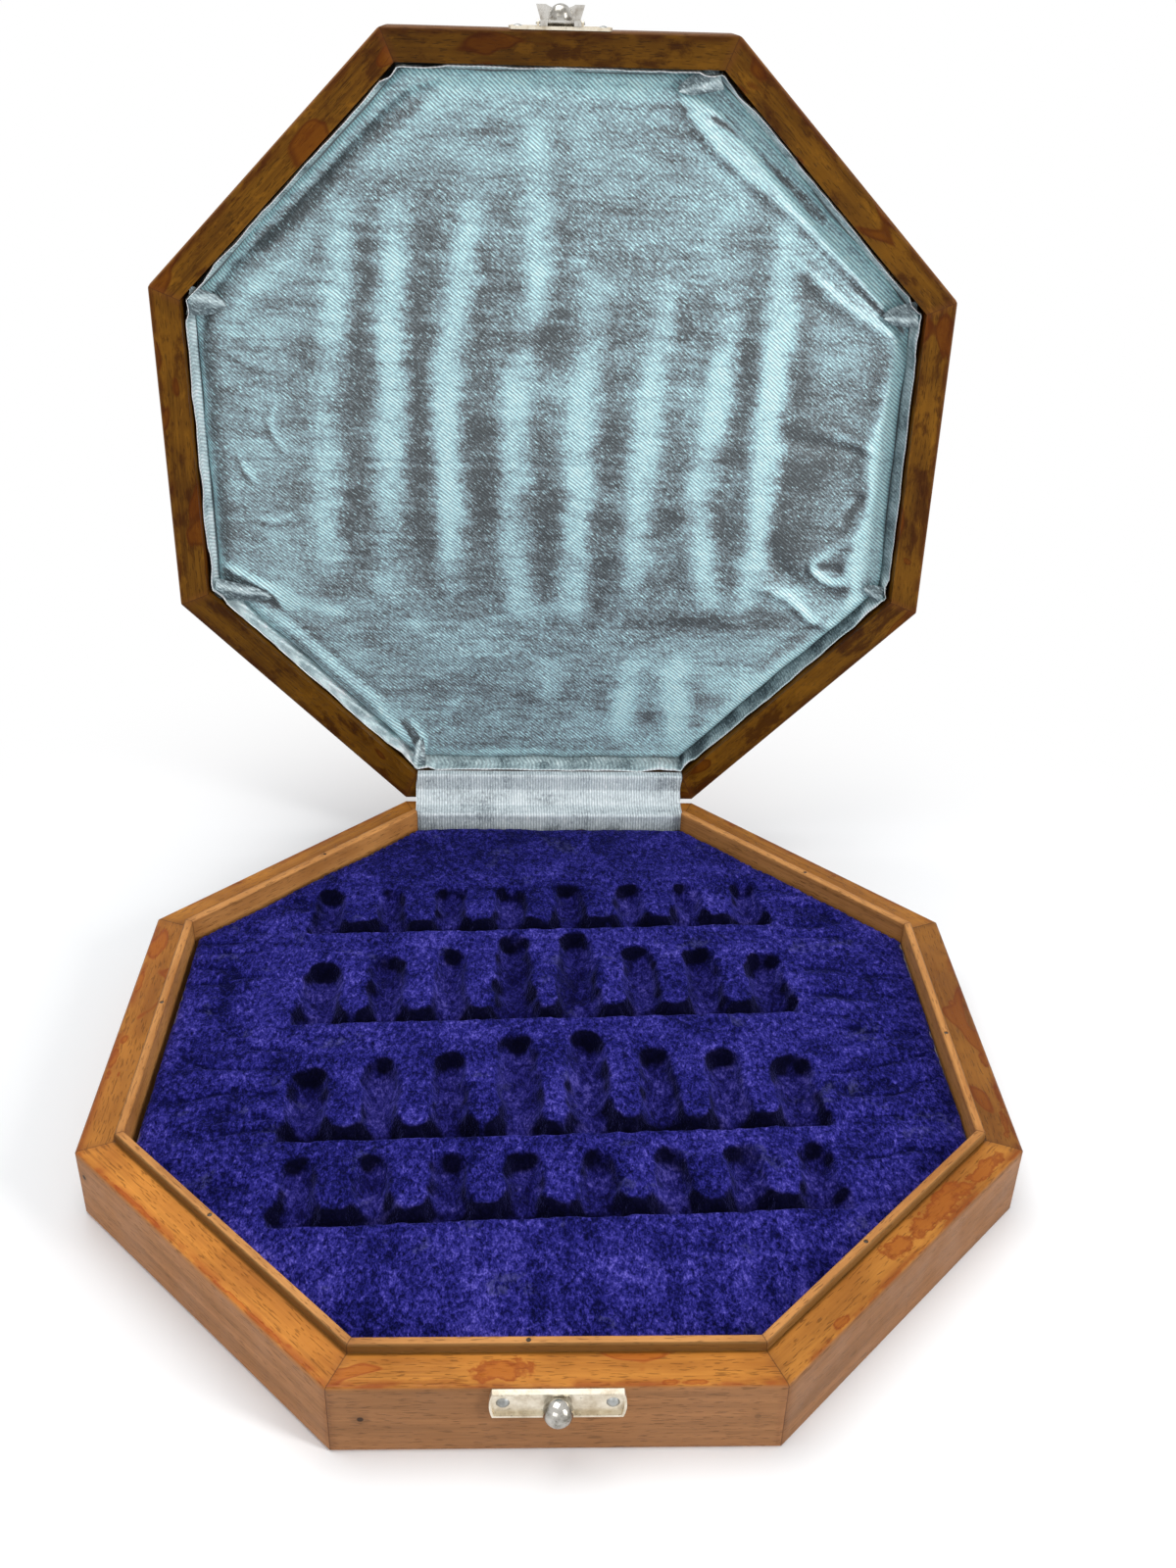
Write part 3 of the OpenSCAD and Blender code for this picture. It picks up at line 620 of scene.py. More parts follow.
span = np.arange(-140, 140, CELL)
U, V = np.meshgrid(span, span, indexing="ij")
bent_U = U + 1.0 * hills(U, V, 6.5, 5.5, 61) + 0.45 * hills(U, V, 2.6, 2.4, 62)
bent_V = V + 0.5 * hills(U, V, 5.5, 6.5, 63) + 0.3 * hills(U, V, 2.4, 2.6, 64)
sink, pocket_shade = np.zeros_like(U), np.zeros_like(U)
pitches = (U - WELL_SHIFT) / WELL_PITCH
beside = bell(abs(pitches - np.round(pitches)) / (0.3 + 0.1 * hills(U, V, 9, 3, 68)))
between_ends = abs(pitches) < 3.5
for row_v, kinds in ROWS:
    wavy = row_v + 0.5 * hills(U, V, 7, 30, 66)
    inside = between_ends & (V > wavy) & (V < wavy + SLIT_W)
    sink[inside] = np.maximum(sink[inside], SLIT_DEPTH)
    trough = between_ends & (V > wavy) & (V < wavy + POCKET_L)
    sink[trough] = np.maximum(sink[trough], TROUGH_DEPTH * (1 - (V[trough] - row_v) / POCKET_L))
    # painted shade: the pockets between the wells at the slit, painted nearly black in the finish
    pocket_shade = np.maximum(pocket_shade, trough * beside * (0.8 + 0.9 * hills(U, V, 5, 3, 67)))
    for i, kind in enumerate(kinds):
        middle = (i - 3.5) * WELL_PITCH + WELL_SHIFT
        near = (abs(U - middle) < 11) & (V > row_v - 1) & (V < row_v + kind[0] + 1)
        depth = well_depth(bent_U[near] - middle, bent_V[near] - row_v, kind)
        sink[near] = np.maximum(sink[near], depth)
# painted shade: how steeply the far and the side walls fall, painted dark in the finish
steep = blurred(sink, 0.45 / CELL)
head_wall_shade = np.clip(-np.gradient(steep, CELL, axis=1) / 1.5, 0, 1)
side_wall_shade = np.clip(abs(np.gradient(steep, CELL, axis=0)) / 2.4, 0, 1)
sink = blurred(sink, PILE_BLUR / CELL)
print("deepest well:", round(float(sink.max()), 2), "mm")

# %% [markdown]
# The cloth itself adds the rest: a soft roll at the tray's edge, pulled wrinkles to the left
# and right where it was stretched round the wells, faint upright ridges in the front field,
# folds across the floors of the long wells, and clumps of pile all over.

# %% Velvet sheet
velvet = octagon_grid("velvet_cover", 324, TRAY_A, (TRAY_SLIDE, 0, TRAY_TOP), WELL_TURN, close=(0.88, 0.695))
at = points_of(velvet)
x, y = (at[:, 0] - TRAY_SLIDE) / MM, at[:, 1] / MM
u = x * math.cos(WELL_TURN) + y * math.sin(WELL_TURN)
v = -x * math.sin(WELL_TURN) + y * math.cos(WELL_TURN)
fu, fv = (u + 140) / CELL, (v + 140) / CELL
iu, iv = np.clip(fu.astype(int), 0, len(span) - 2), np.clip(fv.astype(int), 0, len(span) - 2)
su, sv = fu - iu, fv - iv


def sampled(raster):
    return (raster[iu, iv] * (1 - su) * (1 - sv) + raster[iu + 1, iv] * su * (1 - sv)
            + raster[iu, iv + 1] * (1 - su) * sv + raster[iu + 1, iv + 1] * su * sv)


depth = sampled(sink)
deep = step(depth, 0.4, 3.0)
edge = octagon_depth(x, y, TRAY_A / MM)
height = -depth
height += (1 - deep) * 0.28 * hills(u + 3 * hills(u, v, 9, 9, 3), v, 3.2, 2.6, 11)
height += 0.13 * hills(u, v, 1.3, 1.9, 12) + 0.10 * hills(u, v, 2.3, 1.5, 14)
height += deep * 0.55 * hills(u, v + 2 * hills(u, v, 5, 5, 8), 6, 3.6, 15) * step(depth, 1.5, 4)
pulled = step(abs(u), 86, 98) * step(edge, 1, 10)
wrinkle = hills(u, v + 0.12 * abs(u) * np.sign(v) + 3.2 * hills(u, v, 14, 9, 21), 34, 7.5, 22)
valley = pulled * np.exp(-abs(wrinkle) / 0.11) * step(hills(u, v, 17, 11, 23), -0.7, 0.1)
height -= 1.1 * valley - 0.4 * pulled * abs(wrinkle)
front = step(-v, 86, 94)
height += front * 0.22 * hills(u + 1.5 * hills(u, v, 12, 12, 31), v, 2.4, 34, 32)
height -= 0.5 * bell(edge / 6) * (0.6 + 0.8 * hills(u, v, 18, 18, 33))
height -= 1.5 * (1 - np.sqrt(1 - (1 - np.clip(edge / 1.6, 0, 1)) ** 2))
at[:, 2] = TRAY_TOP + height * MM
at[:, 0] += deep * 0.25 * MM * hills(u, v, 4, 4, 41)
at[:, 1] += deep * 0.25 * MM * hills(u, v, 4, 4, 42)
move_points(velvet, at)
print("velvet from", round(float(at[:, 2].min()), 4), "to", round(float(at[:, 2].max()), 4), "m high")

# %% [markdown]
# Three values are stored on the points for the finish: how deep a point lies, which the finish
# paints darker as shade; how close it is to a well's far or side wall or to a pocket between
# the wells, which it paints nearly black as shade; and how far the pile leans over. Then the
# open edge is drawn down twice, as the cloth is turned round its board.

# %% How the pile lies
# painted shade: depth darkens the colour, and the walls and pockets are painted nearly black
set_value(velvet, "hollow", np.clip(depth / 8, 0, 1))
painted_wall_shade = 1.15 * sampled(blurred(head_wall_shade, 5)) * (0.75 + 0.6 * hills(u, v, 4.5, 3, 54))
painted_wall_shade += 0.4 * sampled(blurred(side_wall_shade, 1.6)) * (0.8 + 0.9 * hills(u, v, 4, 5, 55))
set_value(velvet, "wall", np.clip(painted_wall_shade + 0.62 * sampled(blurred(pocket_shade, 4)), 0, 1))
# The valleys of the pulled wrinkles lower the lie, as painted shade in the creases.
lie = hills(u + 5 * hills(u, v, 20, 20, 51), v, 15, 11, 52) + 0.7 * hills(u, v, 6, 5, 53)
lie += 0.85 * front * hills(u + 2 * hills(u, v, 9, 9, 56), v, 3.0, 40, 57) - 2.6 * valley
lie += deep * (0.35 + 1.3 * hills(u, v, 2.4, 3.6, 58) + 0.7 * hills(u, v, 5, 6, 59)) - 0.9 * step(v, 70, 116)
lie -= 1.9 * deep * np.exp(-((u + 2) / 22) ** 2 - ((v - 38) / 24) ** 2)
lie += 0.5 * pulled * hills(u, v + 0.12 * abs(u) * np.sign(v), 16, 1.6, 69)
set_value(velvet, "lie", 0.5 + 0.3 * lie)
in_edit(velvet)
draw_out_rim((0, 0, -2.2 * MM))
draw_out_rim((0, 0, -2.2 * MM))
out_of_edit()
turn_faces(velvet)
if np.mean([face.normal.z > 0 for face in velvet.data.polygons]) < 0.5:
    velvet.data.flip_normals()
smooth_shaded(velvet)
print("velvet faces:", len(velvet.data.polygons))

# %% [markdown]
# Velvet is dark where we look down into the pile and pale where the pile leans over, so the
# colour follows a slow field of how the pile lies, broken by fine streaky clumps. The sheen
# lobe catches light at a glancing angle. Handled patches in the front have gone grey. Painted
# shade darkens the deep points, the far and side walls of the wells and the pockets between them.

# %% Velvet finish
material, shader = new_finish("blue_velvet", Roughness=0.95, Sheen_Weight=0.22, Sheen_Roughness=0.3,
                              Specular_IOR_Level=0.05)
shader.inputs["Sheen Tint"].default_value = (0.22, 0.22, 0.9, 1)
here = moved(object_place(), turn=(0, 0, -WELL_TURN))
lie = add("Attribute", attribute_name="lie").outputs["Fac"]
hollow = add("Attribute", attribute_name="hollow").outputs["Fac"]
wall = add("Attribute", attribute_name="wall").outputs["Fac"]
clump = drawn_noise(here, (600, 400, 480), 2, 0.6, 0.5)
tuft = drawn_noise(here, (1700, 900, 1300), 2, 0.6, 0.5, place=(5, 2, 1))
leaning = plus(plus(times(clump, 1.55), times(lie, 0.5)), times(tuft, 1.35))
pile = ramp(minus(leaning, 1.22), [
    (0.08, (0.0015, 0.0017, 0.030)), (0.34, (0.007, 0.007, 0.090)), (0.56, (0.020, 0.018, 0.180)),
    (0.8, (0.050, 0.042, 0.30)), (1.0, (0.12, 0.10, 0.48))])
worn = times(spread(noise(here, 75.0, 3, 0.6, 0.4), 0.62, 0.70), spread(clump, 0.35, 0.6))
pile = mixed(times(worn, 0.45), pile, (0.05, 0.052, 0.11))
# painted shade: darker with depth, nearly black at the walls and the pockets
pile = mixed(spread(hollow, 0.05, 0.75, 0.0, 0.34), pile, (0.006, 0.004, 0.034))
pile = mixed(spread(wall, 0.08, 0.6, 0.0, 0.96), pile, (0.0004, 0.0004, 0.006))
plug(pile, shader, "Base Color")
relief(shader, plus(times(clump, 1.6), tuft), 0.0007, 0.9)
wear(velvet, material)
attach(velvet, "base")
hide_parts("velvet_tray")

# %% [markdown]
# ## Satin lining
#
# The lid holds a padded panel covered in satin, turned over its edges. The cloth was cut too
# large, so it lies in long soft folds beside the slanting walls and bunches on the right. The
# men stood under it for years, and every column has pressed a shallow channel. A cloth
# simulation would fold it somewhere else in every run, so the folds are drawn as soft lines of
# points, each with a height, on a grid that is later closed at the back.

# %% Soft lines
def softened(line):
    """Rounds the corners of a line of points by cutting them twice."""
    line = np.array(line, float)
    for _ in range(2):
        cut = np.stack([line[:-1] * 0.75 + line[1:] * 0.25, line[:-1] * 0.25 + line[1:] * 0.75], 1)
        line = np.concatenate([line[:1], cut.reshape(-1, line.shape[1]), line[-1:]])
    return line


def along_line(x, y, line, wide=None, lean=0.0):
    """Height of a fold along a line of (x, y, height) or (x, y, width, height).

    A lean makes its left side wider.
    """
    result = np.zeros(x.shape)
    line = softened(line)
    margin = 3 * (wide or line[:, 2].max())
    near = ((x > line[:, 0].min() - margin) & (x < line[:, 0].max() + margin)
            & (y > line[:, 1].min() - margin) & (y < line[:, 1].max() + margin))
    px, py = x[near], y[near]
    best, value = np.full(px.shape, 1e9), np.zeros(px.shape)
    for a, b in zip(line, line[1:]):
        dx, dy = b[:2] - a[:2]
        t = np.clip(((px - a[0]) * dx + (py - a[1]) * dy) / (dx * dx + dy * dy), 0, 1)
        away = np.hypot(px - a[0] - t * dx, py - a[1] - t * dy)
        left = (px - a[0]) * dy > (py - a[1]) * dx
        reach = (wide or a[2] + t * (b[2] - a[2])) * np.where(left, 1 + lean, 1 - lean)
        closer = away < best
        value = np.where(closer, (a[-1] + t * (b[-1] - a[-1])) * bell(away / reach), value)
        best = np.where(closer, away, best)
    result[near] = value
    return result


print("soft line:", along_line(np.array([0.0, 2.0]), np.zeros(2), [(0, -5, 1), (0, 5, 1)], wide=2).round(2))

# %% [markdown]
# The folds and channels are placed as they lie in the open lid, in millimetres in the shut
# lid's plane: x to the right, y towards the hinges. Where a pressed channel's flank turns to
# the light it shines, so the same lines later say where the satin's painted highlight lies.

# %% Folds, channels, painted highlights and painted shade
FOLDS = [  # width, lean, points with their heights
    (3.4, 0.2, [(44, -128, 0.6), (50, -120, 1.7), (57, -112, 1.8), (74, -99, 1.5), (93, -86, 1.4),
        (110, -73, 1.3), (124, -60, 0.9)]),
    (2.4, 0.0, [(-20, -129, 0.0), (24, -127, 0.5), (53, -127, 1.1), (62, -123, 1.3), (67, -117, 0.8)]),
    (1.2, 0.0, [(55, -122, -0.8), (61, -119, -1.4), (66, -115, -0.6)]),
    (1.4, 0.0, [(66, -118, 0.7), (78, -107, 0.8), (94, -95, 0.3)]),
    (2.8, -0.3, [(88, -74, 0.2), (97, -68, 1.0), (106, -60, 1.4), (121, -51, 1.4), (134, -44, 0.9)]),
    (1.8, 0.0, [(110, -66, -0.4), (121, -58, -1.5), (132, -49, -1.2)]),
    (2.4, 0.0, [(98, -80, 0.2), (112, -70, 1.0), (127, -56, 1.0)]),
    (4.0, -0.3, [(130, -40, 0.8), (128, -18, 1.6), (124, -1, 1.7), (128, 15, 1.5), (124, 28, 1.8),
        (122, 40, 1.6), (124, 58, 1.4), (117, 67, 0.6)]),
    (2.0, 0.0, [(127, -2, 1.0), (118, -6, 0.8), (104, -10, 0.2)]),
    (1.8, 0.2, [(125, 32, 0.6), (117, 36, 1.3), (109, 41, 1.5), (105, 46, 1.6), (109, 51, 1.4),
        (116, 54, 1.2), (123, 54, 0.6)]),
    (3.5, 0.0, [(88, -8, -0.5), (104, -4, -1.1), (118, -3, -0.8)]),
    (5.0, 0.0, [(88, 38, -0.7), (93, 48, -1.3), (104, 56, -1.2), (116, 60, -0.9)]),
    (1.7, 0.0, [(109, 47, -0.8), (117, 47, -0.8)]),
    (1.8, 0.0, [(123, 17, -1.0), (118, 26, -0.9)]),
    (2.2, 0.2, [(78, 55, 0.3), (87, 56, 0.9), (99, 61, 1.2), (107, 70, 1.5), (121, 73, 1.5),
        (134, 70, 0.8)]),
    (5.0, 0.0, [(132, 56, 0.6), (118, 69, 1.4), (100, 87, 1.7), (84, 103, 1.7), (70, 117, 1.3),
        (60, 127, 0.6)]),
    (2.8, 0.0, [(132, 60, 0.4), (116, 66, 1.0), (100, 74, 0.9), (84, 86, 0.2)]),
    (2.4, 0.0, [(120, 62, -0.5), (100, 80, -0.6), (84, 96, -0.2)]),
    (3.6, 0.3, [(-130, 58, 0.5), (-112, 74, 0.9), (-94, 92, 1.3), (-78, 108, 1.2), (-64, 124, 0.6)]),
    (2.6, 0.0, [(-118, 62, -0.4), (-100, 80, -0.9), (-84, 96, -0.9), (-72, 106, -0.4)]),
    (1.6, 0.0, [(-73, 113, 0.5), (-68, 121, 1.4), (-62, 131, 1.5)]),
    (1.3, 0.0, [(-64, 119, -0.8), (-59, 128, -1.3)]),
    (1.1, 0.0, [(-60, 118, 0.4), (-54, 127, 1.3), (-56, 134, 0.9)]),
    (3.2, 0.0, [(-133, 57, -0.7), (-126, 62, -1.7), (-117, 66, -1.4)]),
    (1.6, 0.0, [(-134, 49, 0.9), (-126, 53, 1.3), (-114, 60, 1.3), (-111, 66, 0.8)]),
    (3.2, 0.3, [(-48, -124, 0.6), (-70, -106, 0.8), (-84, -92, 0.5)]),
    (3.0, 0.0, [(-94, -76, 0.5), (-108, -67, 1.0), (-121, -57, 0.9)]),
    (2.0, 0.0, [(-84, -98, -0.6), (-96, -85, -1.0), (-110, -76, -0.8)]),
    (1.4, 0.0, [(-109, -18, 0.3), (-112, -8, 0.8), (-106, 1, 0.3)]),
    (1.5, 0.0, [(-124, 4, 0.3), (-121, 11, 0.9), (-117, 15, 0.2)]),
    (1.8, 0.0, [(-122, 27, 0.2), (-112, 31, 0.7), (-100, 27, 0.2)]),
    (1.8, 0.0, [(-124, -36, 0.3), (-112, -30, 0.7), (-104, -34, 0.1)]),
    (0.7, 0.0, [(-126, 5.7, -0.35), (-90, 4.2, -0.35), (-56, 5, -0.35), (-20, 4.2, -0.3), (14, 4.6, -0.25),
        (50, 6, -0.1)])]
# the ridges between the channels, and the painted highlight streaks on the channel flanks
STREAKS = [  # points with their widths and strengths
    [(-78, -90, 3, 0.3), (-80, -70, 5, 0.8), (-84, -48, 6.5, 0.7), (-88, -20, 4, 0.35), (-89, 8, 7, 0.6),
     (-90, 30, 7.5, 0.95), (-91, 46, 6, 0.4)],
    [(-59, -92, 4, 0.4), (-60, -70, 5, 0.8), (-62, -49, 6.5, 1.0), (-63, -15, 6.5, 1.0), (-65, 10, 5, 0.8),
     (-66, 35, 5, 0.6), (-67, 54, 4, 0.3)],
    [(-32, -92, 3, 0.4), (-35, -65, 6, 0.9), (-40, -40, 7, 1.0), (-42, -16, 8.5, 1.1), (-41, 15, 7, 1.0),
     (-41, 40, 5, 0.8), (-41, 56, 4, 0.4)],
    [(-8, -114, 4, 0.4), (-7, -90, 4.5, 0.5), (-6, -64, 5, 0.9), (-12, -42, 4, 0.35), (-15, -25, 6, 0.8),
     (-16, 0, 7, 0.9), (-16, 30, 6, 0.7), (-14, 62, 5, 0.5)],
    [(15, -62, 4, 0.4), (13, -40, 6, 0.6), (10, -10, 7, 0.8), (10, 15, 6.5, 0.9), (9, 45, 6, 0.95),
     (8, 64, 5, 0.6)],
    [(43, -64, 3, 0.3), (38, -28, 5, 0.8), (35, 0, 6, 0.8), (34, 30, 5, 0.85), (34, 55, 4, 0.6)],
    [(67, -58, 4, 0.4), (65, -25, 6, 0.9), (60, 0, 6, 0.8), (57, 25, 5.5, 0.7), (62, 45, 6, 0.8),
     (66, 62, 5, 0.5)],
    [(87, -92, 4, 0.4), (85, -60, 6, 0.9), (85, -26, 6.5, 1.0), (84, 0, 6, 1.0), (84, 30, 5.5, 0.9),
     (82, 55, 5, 0.7), (79, 68, 4, 0.3)],
    [(34, 90, 4, 0.2), (33, 104, 5, 0.8), (31, 122, 5, 0.4)],
    [(54, 88, 4, 0.2), (54, 106, 5.5, 0.8), (56, 124, 6, 0.7)],
    [(-1, 90, 4, 0.2), (-1, 104, 4, 0.5), (-3, 110, 4, 0.2)]]
# painted highlights along the edges of the big folds
PAINTED_SHEENS = [  # bright edges of the big folds: points with their widths and strengths
    [(48, -127, 3, 0.5), (50, -119, 4, 0.9), (57, -110, 5, 0.8), (74, -97, 6, 0.75), (93, -84, 6, 0.65),
     (110, -70, 6, 0.55), (124, -58, 5, 0.5)],
    [(-46, -124, 4, 0.3), (-20, -123, 4, 0.5), (24, -122, 4, 0.55), (50, -123, 3, 0.6)],
    [(88, -74, 2, 0.2), (97, -68, 2.6, 0.6), (106, -59, 3, 0.8), (121, -50, 3, 0.8), (133, -43, 3, 0.6)],
    [(108, -73, 2, 0.3), (114, -66, 3, 0.6), (122, -60, 3, 0.5)],
    [(133, -40, 5, 0.6), (131, -18, 5.5, 0.8), (128, -2, 5, 0.7), (131, 15, 4.5, 0.7), (128, 30, 6, 0.8),
     (127, 48, 6, 0.7), (124, 62, 4, 0.4)],
    [(127, -2, 2, 0.5), (118, -6, 2, 0.5), (106, -9, 2, 0.2)],
    [(125, 32, 2, 0.6), (117, 36, 2, 0.8), (109, 41, 2.2, 0.9), (105, 46, 2.2, 0.9), (109, 51, 2, 0.8),
     (116, 54, 1.8, 0.8), (122, 50, 1.8, 0.7), (121, 42, 1.8, 0.5)],
    [(78, 56, 3, 0.3), (87, 57, 3.5, 0.7), (99, 62, 3.5, 0.9), (108, 71, 2.6, 1.0), (121, 73, 2.4, 0.9),
     (134, 70, 2, 0.6)],
    [(133, 56, 4, 0.6), (119, 70, 5, 0.9), (101, 88, 5.5, 1.0), (85, 104, 6, 1.0), (71, 118, 6, 0.9),
     (60, 129, 5, 0.6)],
    [(128, 60, 3, 0.3), (114, 66, 3.5, 0.6), (98, 75, 4, 0.5), (84, 86, 4, 0.2)],
    [(-128, 60, 2.4, 0.3), (-112, 76, 3, 0.5), (-94, 94, 3.4, 0.5), (-78, 110, 3.2, 0.6),
     (-64, 124, 2.4, 0.5)],
    [(-74, 112, 1.5, 0.5), (-68, 121, 1.8, 1.0), (-63, 130, 1.6, 0.9)],
    [(-59, 118, 1.2, 0.4), (-54, 127, 1.6, 0.9), (-57, 134, 2, 0.8)],
    [(-134, 48, 2, 0.8), (-126, 52, 2, 0.9), (-115, 59, 1.8, 0.7), (-108, 61, 2.4, 1.1),
     (-107, 66, 2, 0.9)],
    [(-106, 64, 2, 0.7), (-98, 66, 2.6, 0.8), (-90, 69, 3, 0.8), (-86, 65, 2, 0.4)],
    [(-46, -122, 4, 0.3), (-58, -112, 6, 0.3), (-74, -98, 6, 0.35), (-92, -80, 5, 0.25)],
    [(-96, -72, 4, 0.4), (-108, -65, 4, 0.6), (-119, -55, 4, 0.5), (-124, -44, 3, 0.2)],
    [(-50, 132.5, 1.6, 0.5), (0, 132.5, 1.6, 0.4), (54, 132.5, 1.6, 0.6)],
    [(-40, 108, 3, 0.3), (-45, 116, 2.4, 0.7), (-42, 124, 2.4, 0.4)]]
# painted shade along the edges of the big folds
PAINTED_DULLS = [  # dark edges of the big folds
    [(64, -113, 3, 0.2), (84, -101, 4.5, 0.4), (104, -85, 4.5, 0.4), (120, -68, 3, 0.3)],
    [(56, -122, 1.5, 0.6), (62, -118, 1.6, 0.8)],
    [(112, -65, 2, 0.3), (122, -57, 2, 0.8), (132, -49, 1.6, 0.9)],
    [(-84, -99, 3, 0.4), (-96, -86, 3, 0.5), (-110, -76, 3, 0.4)],
    [(-46, -129, 2, 0.5), (-62, -118, 2.4, 0.5), (-82, -102, 2.4, 0.4)],
    [(122, 62, 2, 0.3), (102, 78, 3, 0.5), (86, 94, 3, 0.3)],
    [(-131, 57, 2.4, 0.5), (-126, 61, 3, 0.8), (-117, 65, 3, 0.6)],
    [(-64, 119, 1.5, 0.6), (-59, 128, 1.6, 0.9)],
    [(-118, 64, 3, 0.2), (-100, 82, 4, 0.4), (-80, 102, 3, 0.35)],
    [(123, 17, 1.6, 0.8), (119, 25, 1.8, 0.8)],
    [(109, 46, 2.2, 0.8), (116, 47, 2.2, 0.8)],
    [(121, -7, 2, 0.5), (114, -12, 2, 0.4)]]
# painted highlight where the strength is above 0, painted shade where it is below
PAINTED_PATCHES = [  # middle, half sizes, strength
    (-25, -112, 34, 9, 0.22), (24, -112, 30, 9, 0.2), (60, -92, 9, 18, 0.35), (100, -82, 9, 7, 0.25),
    (22, -22, 40, 8, 0.3), (47, -14, 15, 10, 0.25), (29, 8, 20, 7, 0.2), (-104, 40, 12, 9, 0.3),
    (-103, -42, 13, 14, 0.2), (-52, 73, 15, 6, 0.3), (-86, 66, 13, 4, 0.4), (-108, 63, 4, 4, 0.5),
    (-8, 66, 14, 5, 0.35), (44, 102, 22, 18, 0.25), (92, 96, 13, 12, 0.35), (-66, 58, 8, 8, 0.25),
    (-7, -45, 30, 5, -0.36), (60, 71, 62, 5, -0.42), (-40, 68, 40, 4, -0.1), (104, -2, 13, 14, -0.45),
    (98, 28, 9, 24, -0.4), (98, -30, 7, 9, -0.3), (72, -30, 5, 20, -0.2), (50, 30, 5, 26, -0.15),
    (24, 0, 5, 30, -0.15), (-78, -10, 6, 40, -0.15), (-50, 0, 5, 40, -0.15), (-27, 10, 5, 40, -0.2),
    (-2, 20, 5, 30, -0.15), (-30, 110, 40, 10, -0.15)]

print("folds:", len(FOLDS), "streaks:", len(STREAKS))

# %% [markdown]
# The panel's face is the sum of a turned edge, a slight crown, the ridges that are left
# between the pressed channels, the folds, and small random creases. Its slope is measured too,
# because the painted gleam follows it.

# %% Height of the panel
def panel_height(x, y):
    """Height of the panel's face over its back at points of the shut lid's plane."""
    edge = octagon_depth(x, y, CUSHION_A / MM)
    up_left, up_right, low_right, low_left = [
        (a * x + b * y) / math.sqrt(2) for a, b in ((-1, -1), (1, -1), (1, 1), (-1, 1))]
    inset = (5.5 * step(up_left, 122, 132) * (0.8 + 0.4 * hills(x, y, 30, 30, 60))
             + 7.5 * step(up_right, 122, 131) + 1.5 * step(-x, 118, 130) + 3.0 * step(-y, 120, 131))
    width = 8.5 - 5.0 * step(low_right, 110, 128) - 3.0 * step(low_left, 110, 128) - 3.0 * step(x, 112, 128)
    roll = np.sqrt(1 - (1 - np.clip((edge - inset) / width, 0, 1)) ** 2)
    height = 1.7 * eased(edge / 1.4) + 0.3 * eased(edge / 9) + 2.7 * roll + 2.4 * eased(edge / 136)
    wide_bulge = np.zeros(x.shape)
    for line in STREAKS:
        wide_bulge += along_line(x, y, [(px - 5.5, py, 6.0, 1.2 * tall) for px, py, wide, tall in line])
    height += wide_bulge * step(edge, 3, 20)
    for wide, lean, line in FOLDS:
        height += 0.85 * along_line(x, y, line, wide, lean) * step(edge, 0.3, 3)
    height += 0.3 * hills(x, y, 30, 22, 63) * step(edge, 4, 20)
    height += 0.12 * hills(x, y, 13, 7, 64) * step(edge, 3, 12)
    bent = x + 4 * hills(x, y, 20, 9, 67)
    height += 0.10 * hills(bent, y, 17, 2.4, 65) * step(edge, 3, 12) * step(abs(y - 20), 30, 60)
    height += 0.14 * hills(x + 3 * hills(x, y, 9, 9, 68), y, 9, 2.6, 66) * step(edge, 3, 9) * step(-x, 60, 95)
    return height


# %% Satin panel
panel = octagon_grid("satin_panel", 296, CUSHION_A, (0, 0, CUSHION_BACK))
at = points_of(panel)
x, y = at[:, 0] / MM, at[:, 1] / MM
apothem = CUSHION_A / MM
edge = octagon_depth(x, y, apothem)
height = panel_height(x, y)
to_right = (panel_height(x - 0.7, y) - panel_height(x + 0.7, y)) / 1.4
to_front = (panel_height(x, y + 0.7) - panel_height(x, y - 0.7)) / 1.4
turn = np.arctan2(y, x)
pull = 0.5 * hills(turn * 60, edge, 5, 40, 69) * np.exp(-edge / 8) / 136
at[:, 0], at[:, 1] = x * (1 - pull) * MM, y * (1 - pull) * MM
at[:, 2] = CUSHION_BACK - height * MM
move_points(panel, at)
print("panel thickness:", round(float(height.max()), 2), "mm")

# %% [markdown]
# Satin shines where it leans towards the light and dulls where it leans away, more sharply
# than any plain gloss. This is painted into the colour: the lean of the modelled folds, the
# streaks of painted highlight on the channel flanks and the painted highlight and shade patches
# are stored on the points together, as a value from 0, dull, to 1, bright.

# %% Where the satin gleams, as painted highlight and shade
# painted highlight and shade from the panel's slope, brighter where it leans to the right
painted_gleam = 0.39 + 0.8 * np.tanh(1.5 * to_right) * step(edge, 0, 5) + 0.4 * np.tanh(1.6 * to_front)
# painted highlight streaks on the channel flanks, with painted shade just right of each
for line in STREAKS:
    torn = np.clip(0.85 + 0.5 * hills(x, y, 7, 11, 90) + 0.3 * hills(x, y, 4, 2.2, 91), 0.2, 1.3)
    swayed = x + 1.6 * hills(x, y, 18, 9, 92) + 1.6 * hills(x, y, 7, 2.0, 95)
    painted_gleam += 0.52 * torn * along_line(swayed, y, line)
    painted_gleam -= 0.3 * along_line(swayed, y, [(px + 9, py, 4.0, tall) for px, py, wide, tall in line])
# painted highlights and painted shade along the big folds, then the painted patches
for sign, lines in ((0.62, PAINTED_SHEENS), (-0.62, PAINTED_DULLS)):
    for line in lines:
        painted_gleam += sign * along_line(x, y, line) * (0.85 + 0.3 * hills(x, y, 6, 6, 94))
for px, py, rx, ry, tall in PAINTED_PATCHES:
    spread_out = np.exp(-(((x - px) / rx) ** 2 + ((y - py) / ry) ** 2) ** 1.3)
    painted_gleam += tall * spread_out * (0.8 + 0.5 * hills(x, y, 8, 6, 93))
